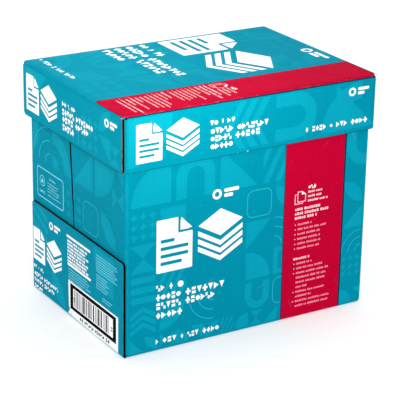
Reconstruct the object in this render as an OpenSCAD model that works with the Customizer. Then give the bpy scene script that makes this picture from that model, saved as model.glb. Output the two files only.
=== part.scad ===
// Carton of office copier paper: a folded corrugated base and a lift-off
// telescoping lid, holding five wrapped reams of A4 sheets.
// Millimetres. Origin: centre of the footprint, on the surface the carton stands on.
// +X along the long front face, +Y from the front face to the back, +Z up.

/* [Board] */
// Thickness of the corrugated board, liner to liner
board_t = 2.8; // [2.4:0.1:3.2]
// Outer radius of the board where it is creased and folded
fold_r = 2.5; // [1.5:0.1:2.5]

/* [Base] */
// Length of the base over the glued side flaps
base_l = 307; // [305:1:308]
// Width of the base over its front and back walls
base_w = 223; // [221:0.5:223]
// Height of the glued outer end flaps above the floor
end_flap_h = 109; // [60:1:180]
// How far an outer end flap stops short of one long face: the front at the left end, the back at the right end
end_flap_inset = 0.6; // [0.3:0.1:3]
// How far it stops short of the other long face
end_flap_inset_far = 6; // [0.3:0.1:8]
// Corner radius at the top of an outer end flap
end_flap_corner_r = 4; // [2:0.5:12]
// Slit between the foot of a side flap and the floor panel
flap_foot_gap = 0.5; // [0.5:0.5:3]
// Rounding at the foot of the front wall's right-hand fold
foot_round_r = 6; // [3:0.5:8]

/* [End seams] */
// Width of the seam between the side flaps at the rim, left end
seam_gap_top = 5; // [2:0.1:6]
// Width of the same seam at the floor
seam_gap_low = 0.5; // [0.4:0.1:2]
// Seam centre at the rim, measured from the middle of the left end
seam_y_top = 19; // [-25:0.5:25]
// Seam centre at the floor, left end
seam_y_low = -0.5; // [-25:0.5:25]
// Seam width at the rim, right end
seam_gap_right = 2.2; // [1:0.1:6]

/* [Lid] */
// Length of the lid over its end panels
lid_l = 320; // [320:0.5:324]
// Width of the lid over its front and back skirts
lid_w = 230.5; // [230.5:0.5:234]
// Depth of the lid's skirt, over the top panel
lid_skirt = 62; // [40:1:90]
// How far an end panel stops short of the front and back faces
lid_end_inset = 0.5; // [0.2:0.1:2]
// How far the right end panel stops short of the front face
lid_end_inset_far = 6; // [0.2:0.1:8]
// Corner radius at the bottom of an end panel
lid_end_corner_r = 5; // [2:0.5:12]
// Length of a glued corner tab, from the corner
tab_l = 58; // [30:1:80]
// Taper at the free end of a corner tab
tab_taper = 9; // [0:1:20]
// Clear space above and below a corner tab
tab_clear = 1.5; // [1:0.5:6]
// Relief radius at the foot of the front skirt's right-hand fold
skirt_relief_r = 5; // [3:0.5:8]
// Rounding at the head of the same fold
head_round_r = 4; // [2:0.5:5]

/* [Reams] */
// Length of a wrapped ream
ream_l = 298; // [297:0.5:299]
// Width of a wrapped ream
ream_w = 212; // [210.5:0.5:213]
// Thickness of a wrapped ream of 500 sheets
ream_h = 53; // [50:0.5:53]
// Radius of the wrapper along the edges of a ream
ream_edge_r = 1.6; // [0.8:0.1:3]

/* [Overall] */
// Height of the closed carton
total_h = 272; // [271:0.5:276]

/* [Hidden] */
$fn = 48;
eps = 0.01;
rim_z = total_h - board_t;        // the lid's top panel rests on the base's rim
skirt_z = total_h - lid_skirt;    // lower edge of the lid
teal = [0.0, 0.62, 0.72];
wrap_white = [0.93, 0.94, 0.95];

// Rectangle centred on the origin, with four rounded corners.
module round_rect(l, w, r) {
    square([l - 2 * r, w], center = true);
    square([l, w - 2 * r], center = true);
    for (sx = [-1, 1], sy = [-1, 1])
        translate([sx * (l / 2 - r), sy * (w / 2 - r)]) circle(r = r);
}

// Upright rectangle standing on the axis, with its two lower corners rounded.
module round_foot(w, h, r) {
    translate([-w / 2 + r, 0]) square([w - 2 * r, h]);
    translate([-w / 2, r]) square([w, h - r]);
    for (s = [-1, 1]) translate([s * (w / 2 - r), r]) circle(r = r);
}

// A 2-D profile drawn in (Y, Z), run along X over length l.
module along_x(l) {
    rotate([90, 0, 90]) translate([0, 0, -l / 2]) linear_extrude(height = l) children();
}

// A 2-D profile drawn in (X, Z), run along Y over length l.
module along_y(l) {
    rotate([90, 0, 0]) translate([0, 0, -l / 2]) linear_extrude(height = l) children();
}

// What is cut away to round a corner seen from the front: the corner is at (x, z)
// on the face at y, up is 1 at a foot and -1 at a head, and the cut goes d deep.
module corner_round(x, y, z, up, d, r) {
    translate([x, y, z]) rotate([90, 0, 0]) translate([0, 0, -d])
        linear_extrude(height = d + 1) difference() {
            translate([-r, up > 0 ? -1 : -r]) square([r + 2 * board_t, r + 1]);
            translate([-r, up * r]) circle(r = r);
        }
}

// ---------------------------------------------------------------- base

// Floor, front and back walls and the four side flaps: one creased blank,
// rounded at every fold, open at the top.
module base_walls() {
    difference() {
        intersection() {
            linear_extrude(height = rim_z) round_rect(base_l, base_w, fold_r);
            along_x(base_l + 2) round_foot(base_w, rim_z, fold_r);
        }
        // the space that holds the reams
        translate([-base_l / 2 + board_t, -base_w / 2 + board_t, board_t])
            cube([base_l - 2 * board_t, base_w - 2 * board_t, rim_z]);
        // the feet of the side flaps are cut free of the floor
        for (s = [-1, 1])
            translate([s * (base_l / 2 - board_t / 2) - board_t, -base_w / 2 + board_t, board_t])
                cube([2 * board_t, base_w - 2 * board_t, flap_foot_gap]);
        end_seam(-1, seam_gap_top, seam_gap_low, seam_y_top, seam_y_low);
        end_seam(1, seam_gap_right, seam_gap_low, 2, 0);
    }
}

// Tapering gap where the two side flaps of one end meet edge to edge.
module end_seam(side, gap_top, gap_low, y_top, y_low) {
    translate([side * base_l / 2, 0, 0])
        along_x(4 * board_t)
            polygon([[y_low - gap_low / 2, board_t],
                     [y_low + gap_low / 2, board_t],
                     [y_top + gap_top / 2, rim_z + 1],
                     [y_top - gap_top / 2, rim_z + 1]]);
}

// Outer end flaps: the floor panel carries on past the side flaps, folds up
// and is glued to the outside of them, a little off centre.
module end_flaps() {
    over = base_l + 2 * board_t;
    w = base_w - end_flap_inset - end_flap_inset_far;
    intersection() {
        difference() {
            along_y(base_w) round_foot(over, end_flap_h, fold_r);
            translate([-base_l / 2, -base_w, board_t]) cube([base_l, 2 * base_w, end_flap_h]);
        }
        // free upper corners of each flap
        for (s = [-1, 1])
            translate([s * over / 2, s * (end_flap_inset_far - end_flap_inset) / 2, 0])
                along_x(4 * board_t) flap_outline(w, end_flap_h, end_flap_corner_r);
    }
}

module flap_outline(w, h, r) {
    translate([-w / 2, 0]) square([w, h - r]);
    translate([-w / 2 + r, 0]) square([w - 2 * r, h]);
    for (s = [-1, 1]) translate([s * (w / 2 - r), h - r]) circle(r = r);
}

module carton_base() {
    color(teal) difference() {
        union() {
            base_walls();
            end_flaps();
        }
        corner_round(base_l / 2, -base_w / 2, 0, 1, 8.5, foot_round_r);
    }
}

// ---------------------------------------------------------------- lid

// Top panel, rounded along all four folds.
module lid_top() {
    intersection() {
        translate([0, 0, total_h]) mirror([0, 0, 1]) along_x(lid_l) round_foot(lid_w, lid_skirt, fold_r);
        translate([0, 0, total_h]) mirror([0, 0, 1]) along_y(lid_w) round_foot(lid_l, lid_skirt, fold_r);
        translate([-lid_l, -lid_w, rim_z]) cube([2 * lid_l, 2 * lid_w, board_t]);
    }
}

// Front and back skirts with the corner tabs that fold in behind the end panels.
module lid_skirts() {
    l = lid_l - 2 * board_t;
    difference() {
        translate([0, 0, skirt_z]) linear_extrude(height = lid_skirt - board_t)
            round_rect(l, lid_w, fold_r);
        translate([-l / 2 + board_t, -lid_w / 2 + board_t, skirt_z - 1])
            cube([l - 2 * board_t, lid_w - 2 * board_t, lid_skirt + 2]);
        // between the two tabs of an end
        for (s = [-1, 1]) translate([s * l / 2, 0, 0]) along_x(4 * board_t) tab_cut();
    }
}

// Everything at one end that isn't a tab: the space between them, and a
// narrow clearance above and below each one.
module tab_cut() {
    y = lid_w / 2 - tab_l;
    polygon([[-y - tab_taper, skirt_z - 1], [-y - tab_taper, skirt_z + tab_clear],
             [-y, skirt_z + tab_clear + tab_taper], [-y, rim_z - tab_clear - tab_taper],
             [-y - tab_taper, rim_z - tab_clear], [-y - tab_taper, rim_z + 1],
             [y + tab_taper, rim_z + 1], [y + tab_taper, rim_z - tab_clear],
             [y, rim_z - tab_clear - tab_taper], [y, skirt_z + tab_clear + tab_taper],
             [y + tab_taper, skirt_z + tab_clear], [y + tab_taper, skirt_z - 1]]);
    for (s = [-1, 1], z = [skirt_z - 1, rim_z - tab_clear])
        translate([s * (lid_w / 2 - board_t - tab_l / 2) - tab_l / 2, z])
            square([tab_l, 1 + tab_clear]);
}

// End panels: outermost, glued over the corner tabs, lower corners rounded.
module lid_ends() {
    r = lid_end_corner_r;
    for (s = [-1, 1]) {
        front = s > 0 ? lid_end_inset_far : lid_end_inset;
        translate([s * (lid_l - board_t) / 2, (front - lid_end_inset) / 2, 0])
            along_x(board_t)
                translate([0, skirt_z])
                    round_foot(lid_w - front - lid_end_inset, lid_skirt - board_t + eps, r);
    }
}

// The right end panel stops short of the front face, from its fold down.
module lid_far_inset() {
    translate([lid_l / 2 - board_t, -lid_w / 2 - 1, skirt_z - 1])
        cube([board_t + 1, 1 + lid_end_inset_far, lid_skirt + 2]);
}

// The front skirt is rounded off at the foot of its right-hand fold, and the
// tab behind it starts above that.
module lid_relief() {
    r = skirt_relief_r;
    x = lid_l / 2 - board_t;
    translate([x - r, -lid_w / 2 + board_t, skirt_z]) rotate([90, 0, 0])
        linear_extrude(height = board_t + 1) difference() {
            translate([0, -1]) square([r + 1, r + 1]);
            translate([0, r]) circle(r = r);
        }
    translate([x - board_t - 1, -lid_w / 2 + board_t, skirt_z - 1])
        cube([board_t + 2, tab_l + 5, r + 1]);
}

module lid_head_round() {
    corner_round(lid_l / 2 - board_t, -lid_w / 2, total_h, -1, 8.5, head_round_r);
}

module carton_lid() {
    color(teal) union() {
        difference() {
            union() {
                lid_top();
                lid_skirts();
            }
            lid_far_inset();
            lid_relief();
            lid_head_round();
        }
        difference() {
            lid_ends();
            lid_head_round();
        }
    }
}

// ---------------------------------------------------------------- reams

// One wrapped ream of 500 sheets, k places up the stack: a single sealed block.
module ream(k) {
    color(wrap_white) translate([0, 0, board_t + k * ream_h]) intersection() {
        linear_extrude(height = ream_h) round_rect(ream_l, ream_w, ream_edge_r);
        along_x(ream_l + 2) translate([0, ream_h / 2]) round_rect(ream_w, ream_h, ream_edge_r);
        along_y(ream_w + 2) translate([0, ream_h / 2]) round_rect(ream_l, ream_h, ream_edge_r);
    }
}

module ream_1() { ream(0); }
module ream_2() { ream(1); }
module ream_3() { ream(2); }
module ream_4() { ream(3); }
module ream_5() { ream(4); }

carton_base();
carton_lid();
ream_1();
ream_2();
ream_3();
ream_4();
ream_5();
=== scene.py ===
# A closed carton of copier paper: a folded corrugated base, a lift-off lid and five wrapped reams.
# Everything is laid out in millimetres in the frame's own axes and scaled to metres at the end.
import math
import random

import bmesh
import bpy
import numpy as np
from mathutils import Matrix, Vector, geometry


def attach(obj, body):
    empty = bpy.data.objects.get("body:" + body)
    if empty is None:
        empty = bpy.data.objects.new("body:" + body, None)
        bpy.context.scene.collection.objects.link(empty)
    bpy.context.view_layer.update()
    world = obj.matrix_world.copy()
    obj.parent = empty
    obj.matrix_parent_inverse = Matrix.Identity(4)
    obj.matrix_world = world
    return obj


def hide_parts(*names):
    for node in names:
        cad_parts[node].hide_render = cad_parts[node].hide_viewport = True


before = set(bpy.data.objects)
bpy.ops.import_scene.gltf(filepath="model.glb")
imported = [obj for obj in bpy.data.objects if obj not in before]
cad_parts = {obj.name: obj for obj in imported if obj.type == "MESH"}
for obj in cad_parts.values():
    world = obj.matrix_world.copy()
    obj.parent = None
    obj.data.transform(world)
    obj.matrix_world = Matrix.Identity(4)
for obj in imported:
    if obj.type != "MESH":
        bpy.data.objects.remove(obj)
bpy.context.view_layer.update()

MM = 0.001
T = 2.8  # board thickness
R = 3.0  # outer radius of a fold
NA = 6  # steps round a fold
LINER = 0.42  # thickness of one liner
FLUTE = 6.4  # pitch of the flutes
TOTAL_H = 272.0
RIM = TOTAL_H - T

# ------------------------------------------------------------------ inks
(
    GROUND, TONE, DEEP, LINE, RED, NAVY, WHITE, BLACK, MIST, SOFT, ROSE, BLUSH, PALE, BARE,
) = range(14)


def lin(r, g, b):
    """Linear colour from 8-bit display values."""
    out = []
    for c in (r, g, b):
        c /= 255.0
        out.append(c / 12.92 if c <= 0.04045 else ((c + 0.055) / 1.055) ** 2.4)
    return tuple(out) + (1.0,)


INK = {
    GROUND: lin(0, 135, 160),
    TONE: lin(6, 149, 173),
    DEEP: lin(0, 125, 151),
    LINE: lin(40, 166, 188),
    RED: lin(184, 2, 47),
    NAVY: lin(8, 38, 66),
    WHITE: lin(246, 247, 248),
    BLACK: lin(7, 8, 10),
    MIST: lin(128, 212, 226),
    SOFT: lin(3, 141, 165),
    ROSE: lin(238, 138, 156),
    BLUSH: lin(250, 200, 210),
    PALE: lin(126, 214, 227),
    BARE: lin(196, 182, 152),
}


# ------------------------------------------------------------------ flat shapes
def rect(x0, y0, x1, y1):
    return [(x0, y0), (x1, y0), (x1, y1), (x0, y1)]


def arc(cx, cy, r, a0, a1, step=2.2):
    n = max(3, int(abs(math.radians(a1 - a0)) * r / step) + 1)
    return [
        (
            cx + r * math.cos(math.radians(a0 + (a1 - a0) * k / n)),
            cy + r * math.sin(math.radians(a0 + (a1 - a0) * k / n)),
        )
        for k in range(n + 1)
    ]


def disc(cx, cy, r):
    return arc(cx, cy, r, 0, 360, max(0.5, min(2.2, r / 4)))[:-1]


def sector(cx, cy, r0, r1, a0, a1):
    outer = arc(cx, cy, r1, a0, a1)
    if r0 <= 0:
        return outer + ([(cx, cy)] if abs(a1 - a0) < 359 else [])
    return outer + arc(cx, cy, r0, a1, a0)


def rrect(x0, y0, x1, y1, r):
    r = min(r, (x1 - x0) / 2 - 1e-3, (y1 - y0) / 2 - 1e-3)
    p = []
    for cx, cy, a in (
        (x1 - r, y0 + r, -90),
        (x1 - r, y1 - r, 0),
        (x0 + r, y1 - r, 90),
        (x0 + r, y0 + r, 180),
    ):
        p += arc(cx, cy, r, a, a + 90, max(0.25, r / 3))
    return p


def inside(poly, pts):
    """Even-odd test of many points against one contour."""
    poly = np.asarray(poly, float)
    x, y = pts[:, 0], pts[:, 1]
    hit = np.zeros(len(pts), bool)
    x0, y0 = poly[-1]
    for x1, y1 in poly:
        cross = (y1 > y) != (y0 > y)
        if cross.any():
            with np.errstate(divide="ignore", invalid="ignore"):
                at = (x0 - x1) * (y - y1) / (y0 - y1) + x1
            hit ^= cross & (x < at)
        x0, y0 = x1, y1
    return hit


# ------------------------------------------------------------------ folded blank
class Blank:
    """One sheet of board laid flat in (U, V) and folded up into a tray: a floor, two walls along
    X with a flap at each end, and two end panels that lie outside those flaps. z is the height
    over the floor's outer face. A lid is the same tray turned over about X."""

    def __init__(
        self, length, width, height, end_h, corner_r, foot, flaps, lid, insets, slits, relief, rounds
    ):
        self.L, self.W, self.H, self.He = length, width, height, end_h
        self.cr, self.foot, self.flaps, self.lid = corner_r, foot, flaps, lid
        # for each corner (su, sv): how far the end panel stops short of the wall's outer face,
        # whether the cut beside it runs on through the fold, the radius at the wall's free corner,
        # and the radius and reach of the rounding where wall and floor meet
        self.insets, self.slits, self.relief, self.rounds = insets, slits, relief, rounds
        self.fU = length / 2 + T - R
        self.fV = width / 2 - R
        self.wU = length / 2 - R
        self.A = math.pi * R / 2
        self.items = []
        self.ys = -1 if lid else 1

    def up(self, z):
        return TOTAL_H - z if self.lid else z

    # --- from a face of the folded carton to the flat sheet
    def to_flat(self, face, pts):
        p = np.asarray(pts, float)
        a, b = p[:, 0], p[:, 1]
        A = self.A
        if face == "floor":
            return np.stack([a, self.ys * b], 1)
        if face in ("front", "back"):
            s = (-1 if face == "front" else 1) * self.ys
            return np.stack([a, s * (self.fV + A + self.up(b) - R)], 1)
        if face in ("left", "right"):
            s = -1 if face == "left" else 1
            return np.stack([s * (self.fU + A + self.up(b) - R), self.ys * a], 1)
        end, side = face.split("_")  # such as left_front, a side flap
        su = -1 if end == "left" else 1
        sr = -1 if side == "front" else 1
        u = su * (self.wU + A + (self.W / 2 - sr * a) - R)
        v = sr * self.ys * (self.fV + A + self.up(b) - R)
        return np.stack([u, v], 1)

    def ink(self, face, colour, *contours):
        """Prints contours on a face. Inside a fold they are moved to its nearest step."""
        out = []
        for c in contours:
            p = self.to_flat(face, c)
            for axis, start in ((0, self.fU), (1, self.fV)):
                q = np.abs(p[:, axis])
                k = np.clip(np.round((q - start) / self.A * NA), 0, NA)
                near = (q > start - 0.3) & (q < start + self.A + 0.3)
                p[:, axis] = np.where(near, np.sign(p[:, axis]) * (start + k * self.A / NA), p[:, axis])
            out.append(p)
        self.items.append((colour, out))

    # --- from the flat sheet to the folded carton, at a depth under the printed face
    def place(self, uv, d=0.0):
        uv = np.asarray(uv, float)
        su, sv = np.where(uv[:, 0] < 0, -1.0, 1.0), np.where(uv[:, 1] < 0, -1.0, 1.0)
        u, v = np.abs(uv[:, 0]), np.abs(uv[:, 1])
        A, fU, fV, wU = self.A, self.fU, self.fV, self.wU
        e = 2e-3
        wall = (v > fV + e) & ((u <= fU + e) | (v > fV + A - e))
        P, N = np.zeros((len(uv), 3)), np.zeros((len(uv), 3))
        # floor and end panels
        s = np.clip(u - fU, 0, None)
        th = np.minimum(s, A) / R
        P0 = np.stack(
            [
                np.minimum(u, fU) + R * np.sin(th),
                v,
                R * (1 - np.cos(th)) + np.clip(s - A, 0, None),
            ],
            1,
        )
        N0 = np.stack([np.sin(th), 0 * th, -np.cos(th)], 1)
        # walls and their flaps
        q = np.clip(v - fV, 0, None)
        th = np.minimum(q, A) / R
        flap = (u > wU) & (q > A + 0.15)  # a flap starts above its foot gap
        s = np.where(flap, np.clip(u - wU, 0, None), 0.0)
        ph = np.minimum(s, A) / R
        P1 = np.stack(
            [
                np.where(flap, wU + R * np.sin(ph), u),
                np.where(
                    flap,
                    self.W / 2 - R + R * np.cos(ph) - np.clip(s - A, 0, None),
                    fV + R * np.sin(th),
                ),
                R * (1 - np.cos(th)) + np.clip(q - A, 0, None),
            ],
            1,
        )
        N1 = np.where(
            flap[:, None],
            np.stack([np.sin(ph), np.cos(ph), 0 * ph], 1),
            np.stack([0 * th, np.sin(th), -np.cos(th)], 1),
        )
        P = np.where(wall[:, None], P1, P0)
        N = np.where(wall[:, None], N1, N0)
        sign = np.stack([su, sv, np.ones(len(uv))], 1)
        P, N = P * sign, N * sign
        return self.turn(P - N * np.asarray(d)[..., None] if np.ndim(d) else P - N * d)

    def turn(self, p):
        """From the tray's own axes to the frame's."""
        if not self.lid:
            return p
        return np.stack([p[:, 0], -p[:, 1], TOTAL_H - p[:, 2]], 1)

    # --- outline of the flat sheet
    def outline(self):
        A, fU, fV, wU = self.A, self.fU, self.fV, self.wU
        e, cr = fU + A + (self.He - R), self.cr
        rim = fV + A + self.H - R

        def quarter(su, sv):
            he = self.W / 2 - self.insets[su, sv]
            p = [(e, he - cr)]
            n = 6
            p += [
                (
                    e - cr + cr * math.cos(k * math.pi / 2 / n),
                    he - cr + cr * math.sin(k * math.pi / 2 / n),
                )
                for k in range(1, n + 1)
            ]
            if (su, sv) in self.rounds:
                r, back = self.rounds[su, sv]
                x = self.L / 2 - r - 0.4
                p += [(fU + A + r - R + 1.2, he), (fU + A + r - R, he - 1.0)]
                p += [(fU + A + r - R, back)]
                p += [(fU + A * k / NA, back) for k in range(NA, -1, -1)]
                p += [(x, back), (x, fV)]
                for k in range(1, NA + 1):
                    z = R * (1 - math.cos(math.pi / 2 * k / NA))
                    p.append((x + math.sqrt(r * r - (r - z) ** 2) - k / NA, fV + A * k / NA))
            elif (su, sv) in self.slits:
                p += [(fU + A * k / NA, he) for k in range(NA, 0, -1)]
                p += [(fU + 0.06, he), (fU + 0.06, fV)] if he > fV else [(fU, he)]
                p += [(fU, fV + A * k / NA) for k in range(NA + 1)]
            else:
                p += [(fU + A + 2.2, he), (fU + A, fV)]
                p += [(fU + A * k / NA, fV) for k in range(NA - 1, -1, -1)]
                p += [(fU, fV + A * k / NA) for k in range(1, NA + 1)]
            flap = list(self.flaps[su, sv])
            if (su, sv) in self.rounds:
                flap[0] = (flap[0][0], max(flap[0][1], self.rounds[su, sv][0]))
                p += [(wU, fV + A), (wU, fV + A + 0.35), (wU + 0.3 * A, fV + A + 0.35)]
            else:
                p += [(wU, fV + A), (wU, fV + A + self.foot)]
            p += [(wU + A + a - R, fV + A + z - R) for a, z in flap]
            r = self.relief.get((su, sv))
            if r:
                x = wU - 1.93
                p += [
                    (x + r * math.cos(k * math.pi / 14), rim - r + r * math.sin(k * math.pi / 14))
                    for k in range(8)
                ]
            else:
                p += [(wU, rim)]
            return [(su * a, sv * b) for a, b in p]

        loop = quarter(1, 1) + quarter(-1, 1)[::-1] + quarter(-1, -1) + quarter(1, -1)[::-1]
        out = []
        for k, p in enumerate(loop):
            q = loop[(k + 1) % len(loop)]
            out.append(p)
            n = int(math.dist(p, q) / 6.0)
            out += [
                (p[0] + (q[0] - p[0]) * j / (n + 1), p[1] + (q[1] - p[1]) * j / (n + 1))
                for j in range(1, n + 1)
            ]
        return out

    def fold_lines(self):
        """Lines along every fold, one for each step round it."""
        A, fU, fV, wU = self.A, self.fU, self.fV, self.wU
        top = fV + A + self.H - R
        lines = []
        for k in range(NA + 1):
            t = A * k / NA
            for s in (-1, 1):
                lo, hi = (
                    self.rounds[s, w][1]
                    if (s, w) in self.rounds
                    else self.W / 2 - self.insets[s, w]
                    if k and (s, w) in self.slits
                    else fV
                    for w in (-1, 1)
                )
                lines.append(((s * (fU + t), -lo), (s * (fU + t), hi)))
                lines.append(((-fU, s * (fV + t)), (fU, s * (fV + t))))
                for w in (-1, 1):
                    lines.append(
                        (
                            (s * (wU + t), w * (fV + A)),
                            (s * (wU + t), w * top),
                        )
                    )
        return lines


def cdt(points, edges):
    verts, _, faces, *_ = geometry.delaunay_2d_cdt(
        [Vector(p) for p in points], edges, [], 0, 1e-4, False
    )
    v = np.array([(p.x, p.y) for p in verts])
    f = np.array([tuple(x) for x in faces], int)
    a, b, c = v[f[:, 0]], v[f[:, 1]], v[f[:, 2]]
    area = (b[:, 0] - a[:, 0]) * (c[:, 1] - a[:, 1]) - (b[:, 1] - a[:, 1]) * (
        c[:, 0] - a[:, 0]
    )
    f[area < 0] = f[area < 0][:, ::-1]
    return v, f[np.abs(area) > 1e-9]


def sheet_mesh(blank, outline, contours, grid):
    """Triangles of the flat sheet, cut along every contour."""
    pts, edges = [], []

    def add(poly, closed=True):
        n0 = len(pts)
        pts.extend((float(x), float(y)) for x, y in poly)
        n = len(poly)
        edges.extend(
            (n0 + k, n0 + (k + 1) % n) for k in range(n if closed else n - 1)
        )

    add(outline)
    for c in contours:
        add(c)
    for p, q in blank.fold_lines():
        n = max(1, int(math.dist(p, q) / grid))
        add(
            [
                (p[0] + (q[0] - p[0]) * k / n, p[1] + (q[1] - p[1]) * k / n)
                for k in range(n + 1)
            ],
            closed=False,
        )
    o = np.array(outline)
    gx = np.arange(o[:, 0].min() + grid / 2, o[:, 0].max(), grid)
    gy = np.arange(o[:, 1].min() + grid / 2, o[:, 1].max(), grid)
    g = np.array([(x, y) for x in gx for y in gy])
    g = g[inside(outline, g)]
    # grid points stay off the edges
    near = np.zeros(len(g), bool)
    seg = o
    for k in range(0, len(g), 512):
        d = np.linalg.norm(g[k : k + 512, None] - seg[None], axis=2).min(1)
        near[k : k + 512] = d < 2.5
    for x, y in g[~near]:
        pts.append((float(x), float(y)))
    v, f = cdt(pts, edges)
    return v, f[inside(outline, v[f].mean(1))]


def loops_of(f):
    """Closed runs of the mesh's border, with the sheet on the left."""
    half = {}
    for a, b, c in f:
        for i, j in ((a, b), (b, c), (c, a)):
            half[i, j] = True
    nxt = {i: j for i, j in half if (j, i) not in half}
    loops = []
    while nxt:
        start = next(iter(nxt))
        loop = [start]
        j = nxt.pop(start)
        while j != start:
            loop.append(j)
            j = nxt.pop(j)
        loops.append(loop)
    return loops


class Soup:
    """Vertices and faces gathered before welding, with what each face is."""

    def __init__(self):
        self.v, self.f, self.mat, self.ink, self.flat, self.n = [], [], [], [], [], 0

    def add(self, verts, faces, mat, ink, flat=None):
        verts = np.asarray(verts, float)
        self.v.append(verts)
        self.flat.append(
            np.zeros((len(verts), 3)) if flat is None else np.asarray(flat, float)
        )
        for k, f in enumerate(faces):
            self.f.append([int(i) + self.n for i in f])
            self.mat.append(mat)
            self.ink.append(int(ink[k]) if np.ndim(ink) else int(ink))
        self.n += len(verts)


PRINT, KRAFT, EDGE, MEDIUM, HOLLOW = range(5)


def board(blank, groove=2.6):
    """The folded board as a closed mesh: printed face, kraft face and its cut edges."""
    soup = Soup()
    outline = blank.outline()
    contours = [c for _, cs in blank.items for c in cs]
    v, f = sheet_mesh(blank, outline, contours, 9.0)
    mid = v[f].mean(1)
    ink = np.zeros(len(f), int)
    for colour, cs in blank.items:
        lo = np.min([c.min(0) for c in cs], axis=0)
        hi = np.max([c.max(0) for c in cs], axis=0)
        near = np.where(((mid >= lo) & (mid <= hi)).all(1))[0]
        if not len(near):
            continue
        hit = np.zeros(len(near), bool)
        for c in cs:
            hit ^= inside(c, mid[near])
        ink[near[hit]] = colour
    flat = np.column_stack([v, np.zeros(len(v))])
    soup.add(blank.place(v), f[:, ::-1], PRINT, ink, flat)

    # kraft side
    loops = loops_of(f)
    rims = [v[l] for l in loops]
    main = max(rims, key=len)
    pts, edges = [], []
    for r in rims:
        n0 = len(pts)
        pts += [tuple(p) for p in r]
        edges += [(n0 + k, n0 + (k + 1) % len(r)) for k in range(len(r))]
    for p, q in blank.fold_lines():
        n0 = len(pts)
        n = max(1, int(math.dist(p, q) / 14))
        pts += [
            (p[0] + (q[0] - p[0]) * k / n, p[1] + (q[1] - p[1]) * k / n)
            for k in range(n + 1)
        ]
        edges += [(n0 + k, n0 + k + 1) for k in range(n)]
    o = np.array(outline)
    g = np.array(
        [
            (x, y)
            for x in np.arange(o[:, 0].min() + 7, o[:, 0].max(), 14)
            for y in np.arange(o[:, 1].min() + 7, o[:, 1].max(), 14)
        ]
    )
    g = g[inside(outline, g)]
    d = np.concatenate(
        [
            np.linalg.norm(g[k : k + 512, None] - o[None], axis=2).min(1)
            for k in range(0, len(g), 512)
        ]
    )
    pts += [tuple(p) for p in g[d > 4]]
    vi, fi = cdt(pts, edges)
    fi = fi[inside(main, vi[fi].mean(1))]
    soup.add(
        blank.place(vi, T), fi, KRAFT, 0, np.column_stack([vi, np.full(len(vi), T)])
    )

    # rounded corners where two folds of the floor meet
    A, fU, fV = blank.A, blank.fU, blank.fV
    for su in (-1, 1):
        for sv in (-1, 1):
            if (su, sv) in blank.slits:
                continue
            rings = {}
            for rad in (R, R - T):
                p = []
                for i in range(NA + 1):
                    th = math.pi / 2 * i / NA
                    for j in range(NA + 1):
                        ps = math.pi / 2 * j / NA
                        p.append(
                            (
                                su * (fU + rad * math.sin(th) * math.cos(ps)),
                                sv * (fV + rad * math.sin(th) * math.sin(ps)),
                                R - rad * math.cos(th),
                            )
                        )
                rings[rad] = blank.turn(np.array(p))
            quads = [
                (
                    i * (NA + 1) + j,
                    i * (NA + 1) + j + 1,
                    (i + 1) * (NA + 1) + j + 1,
                    (i + 1) * (NA + 1) + j,
                )
                for i in range(NA)
                for j in range(NA)
            ]
            flat = np.tile([su * fU, sv * fV, 0.0], ((NA + 1) ** 2, 1))
            # the corner takes the ink of the floor next to it, down to the middle of the fold,
            # and its crushed foot shows the bare liner
            at = np.array([[su * (fU - 0.2), sv * (fV - 0.2)]])
            floor_ink = ink[np.argmin(np.linalg.norm(mid - at, axis=1))]
            steps = [floor_ink] * 3 + [NAVY if floor_ink == RED else GROUND] + [GROUND] * (NA - 4)
            inks = np.repeat(steps, NA)
            inks[-NA : -NA + 3] = BARE
            soup.add(rings[R], quads, PRINT, inks, flat)
            soup.add(rings[R - T], quads, KRAFT, 0, flat + [0, 0, T])
            last = NA * (NA + 1)
            lip = np.concatenate([rings[R][last:], rings[R - T][last:]])
            m = NA + 1
            soup.add(
                lip,
                [(j, j + 1, m + j + 1, m + j) for j in range(NA)],
                EDGE,
                0,
                np.concatenate([flat[:m], flat[:m] + [0, 0, T]]),
            )

    if blank.lid:
        for corner, (r, back) in blank.rounds.items():
            crushed_corner(soup, blank, corner, r, back)

    # cut edges: two liners with the fluting set back between them
    def at_corner(p):
        if (math.copysign(1, p[0]), math.copysign(1, p[1])) in blank.slits:
            return False
        u, w = abs(p[0]), abs(p[1])
        return (abs(w - fV) < 1e-3 and fU - 1e-3 <= u <= fU + A + 1e-3) or (
            abs(u - fU) < 1e-3 and fV - 1e-3 <= w <= fV + A + 1e-3
        )

    for loop in loops:
        p = v[loop]
        n = len(p)
        skip = [at_corner(p[k]) and at_corner(p[(k + 1) % n]) for k in range(n)]
        start = next((k for k in range(n) if skip[k - 1] and not skip[k]), 0)
        order = [(start + k) % n for k in range(n)]
        runs, run = [], []
        for k in order:
            if skip[k]:
                if run:
                    runs.append(run)
                run = []
                continue
            if not run:
                run = [k]
            run.append((k + 1) % n)
        if run:
            runs.append(run)
        for run in runs:
            edge_strip(soup, blank, p[run], groove, closed=run[0] == run[-1])
    return soup


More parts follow.
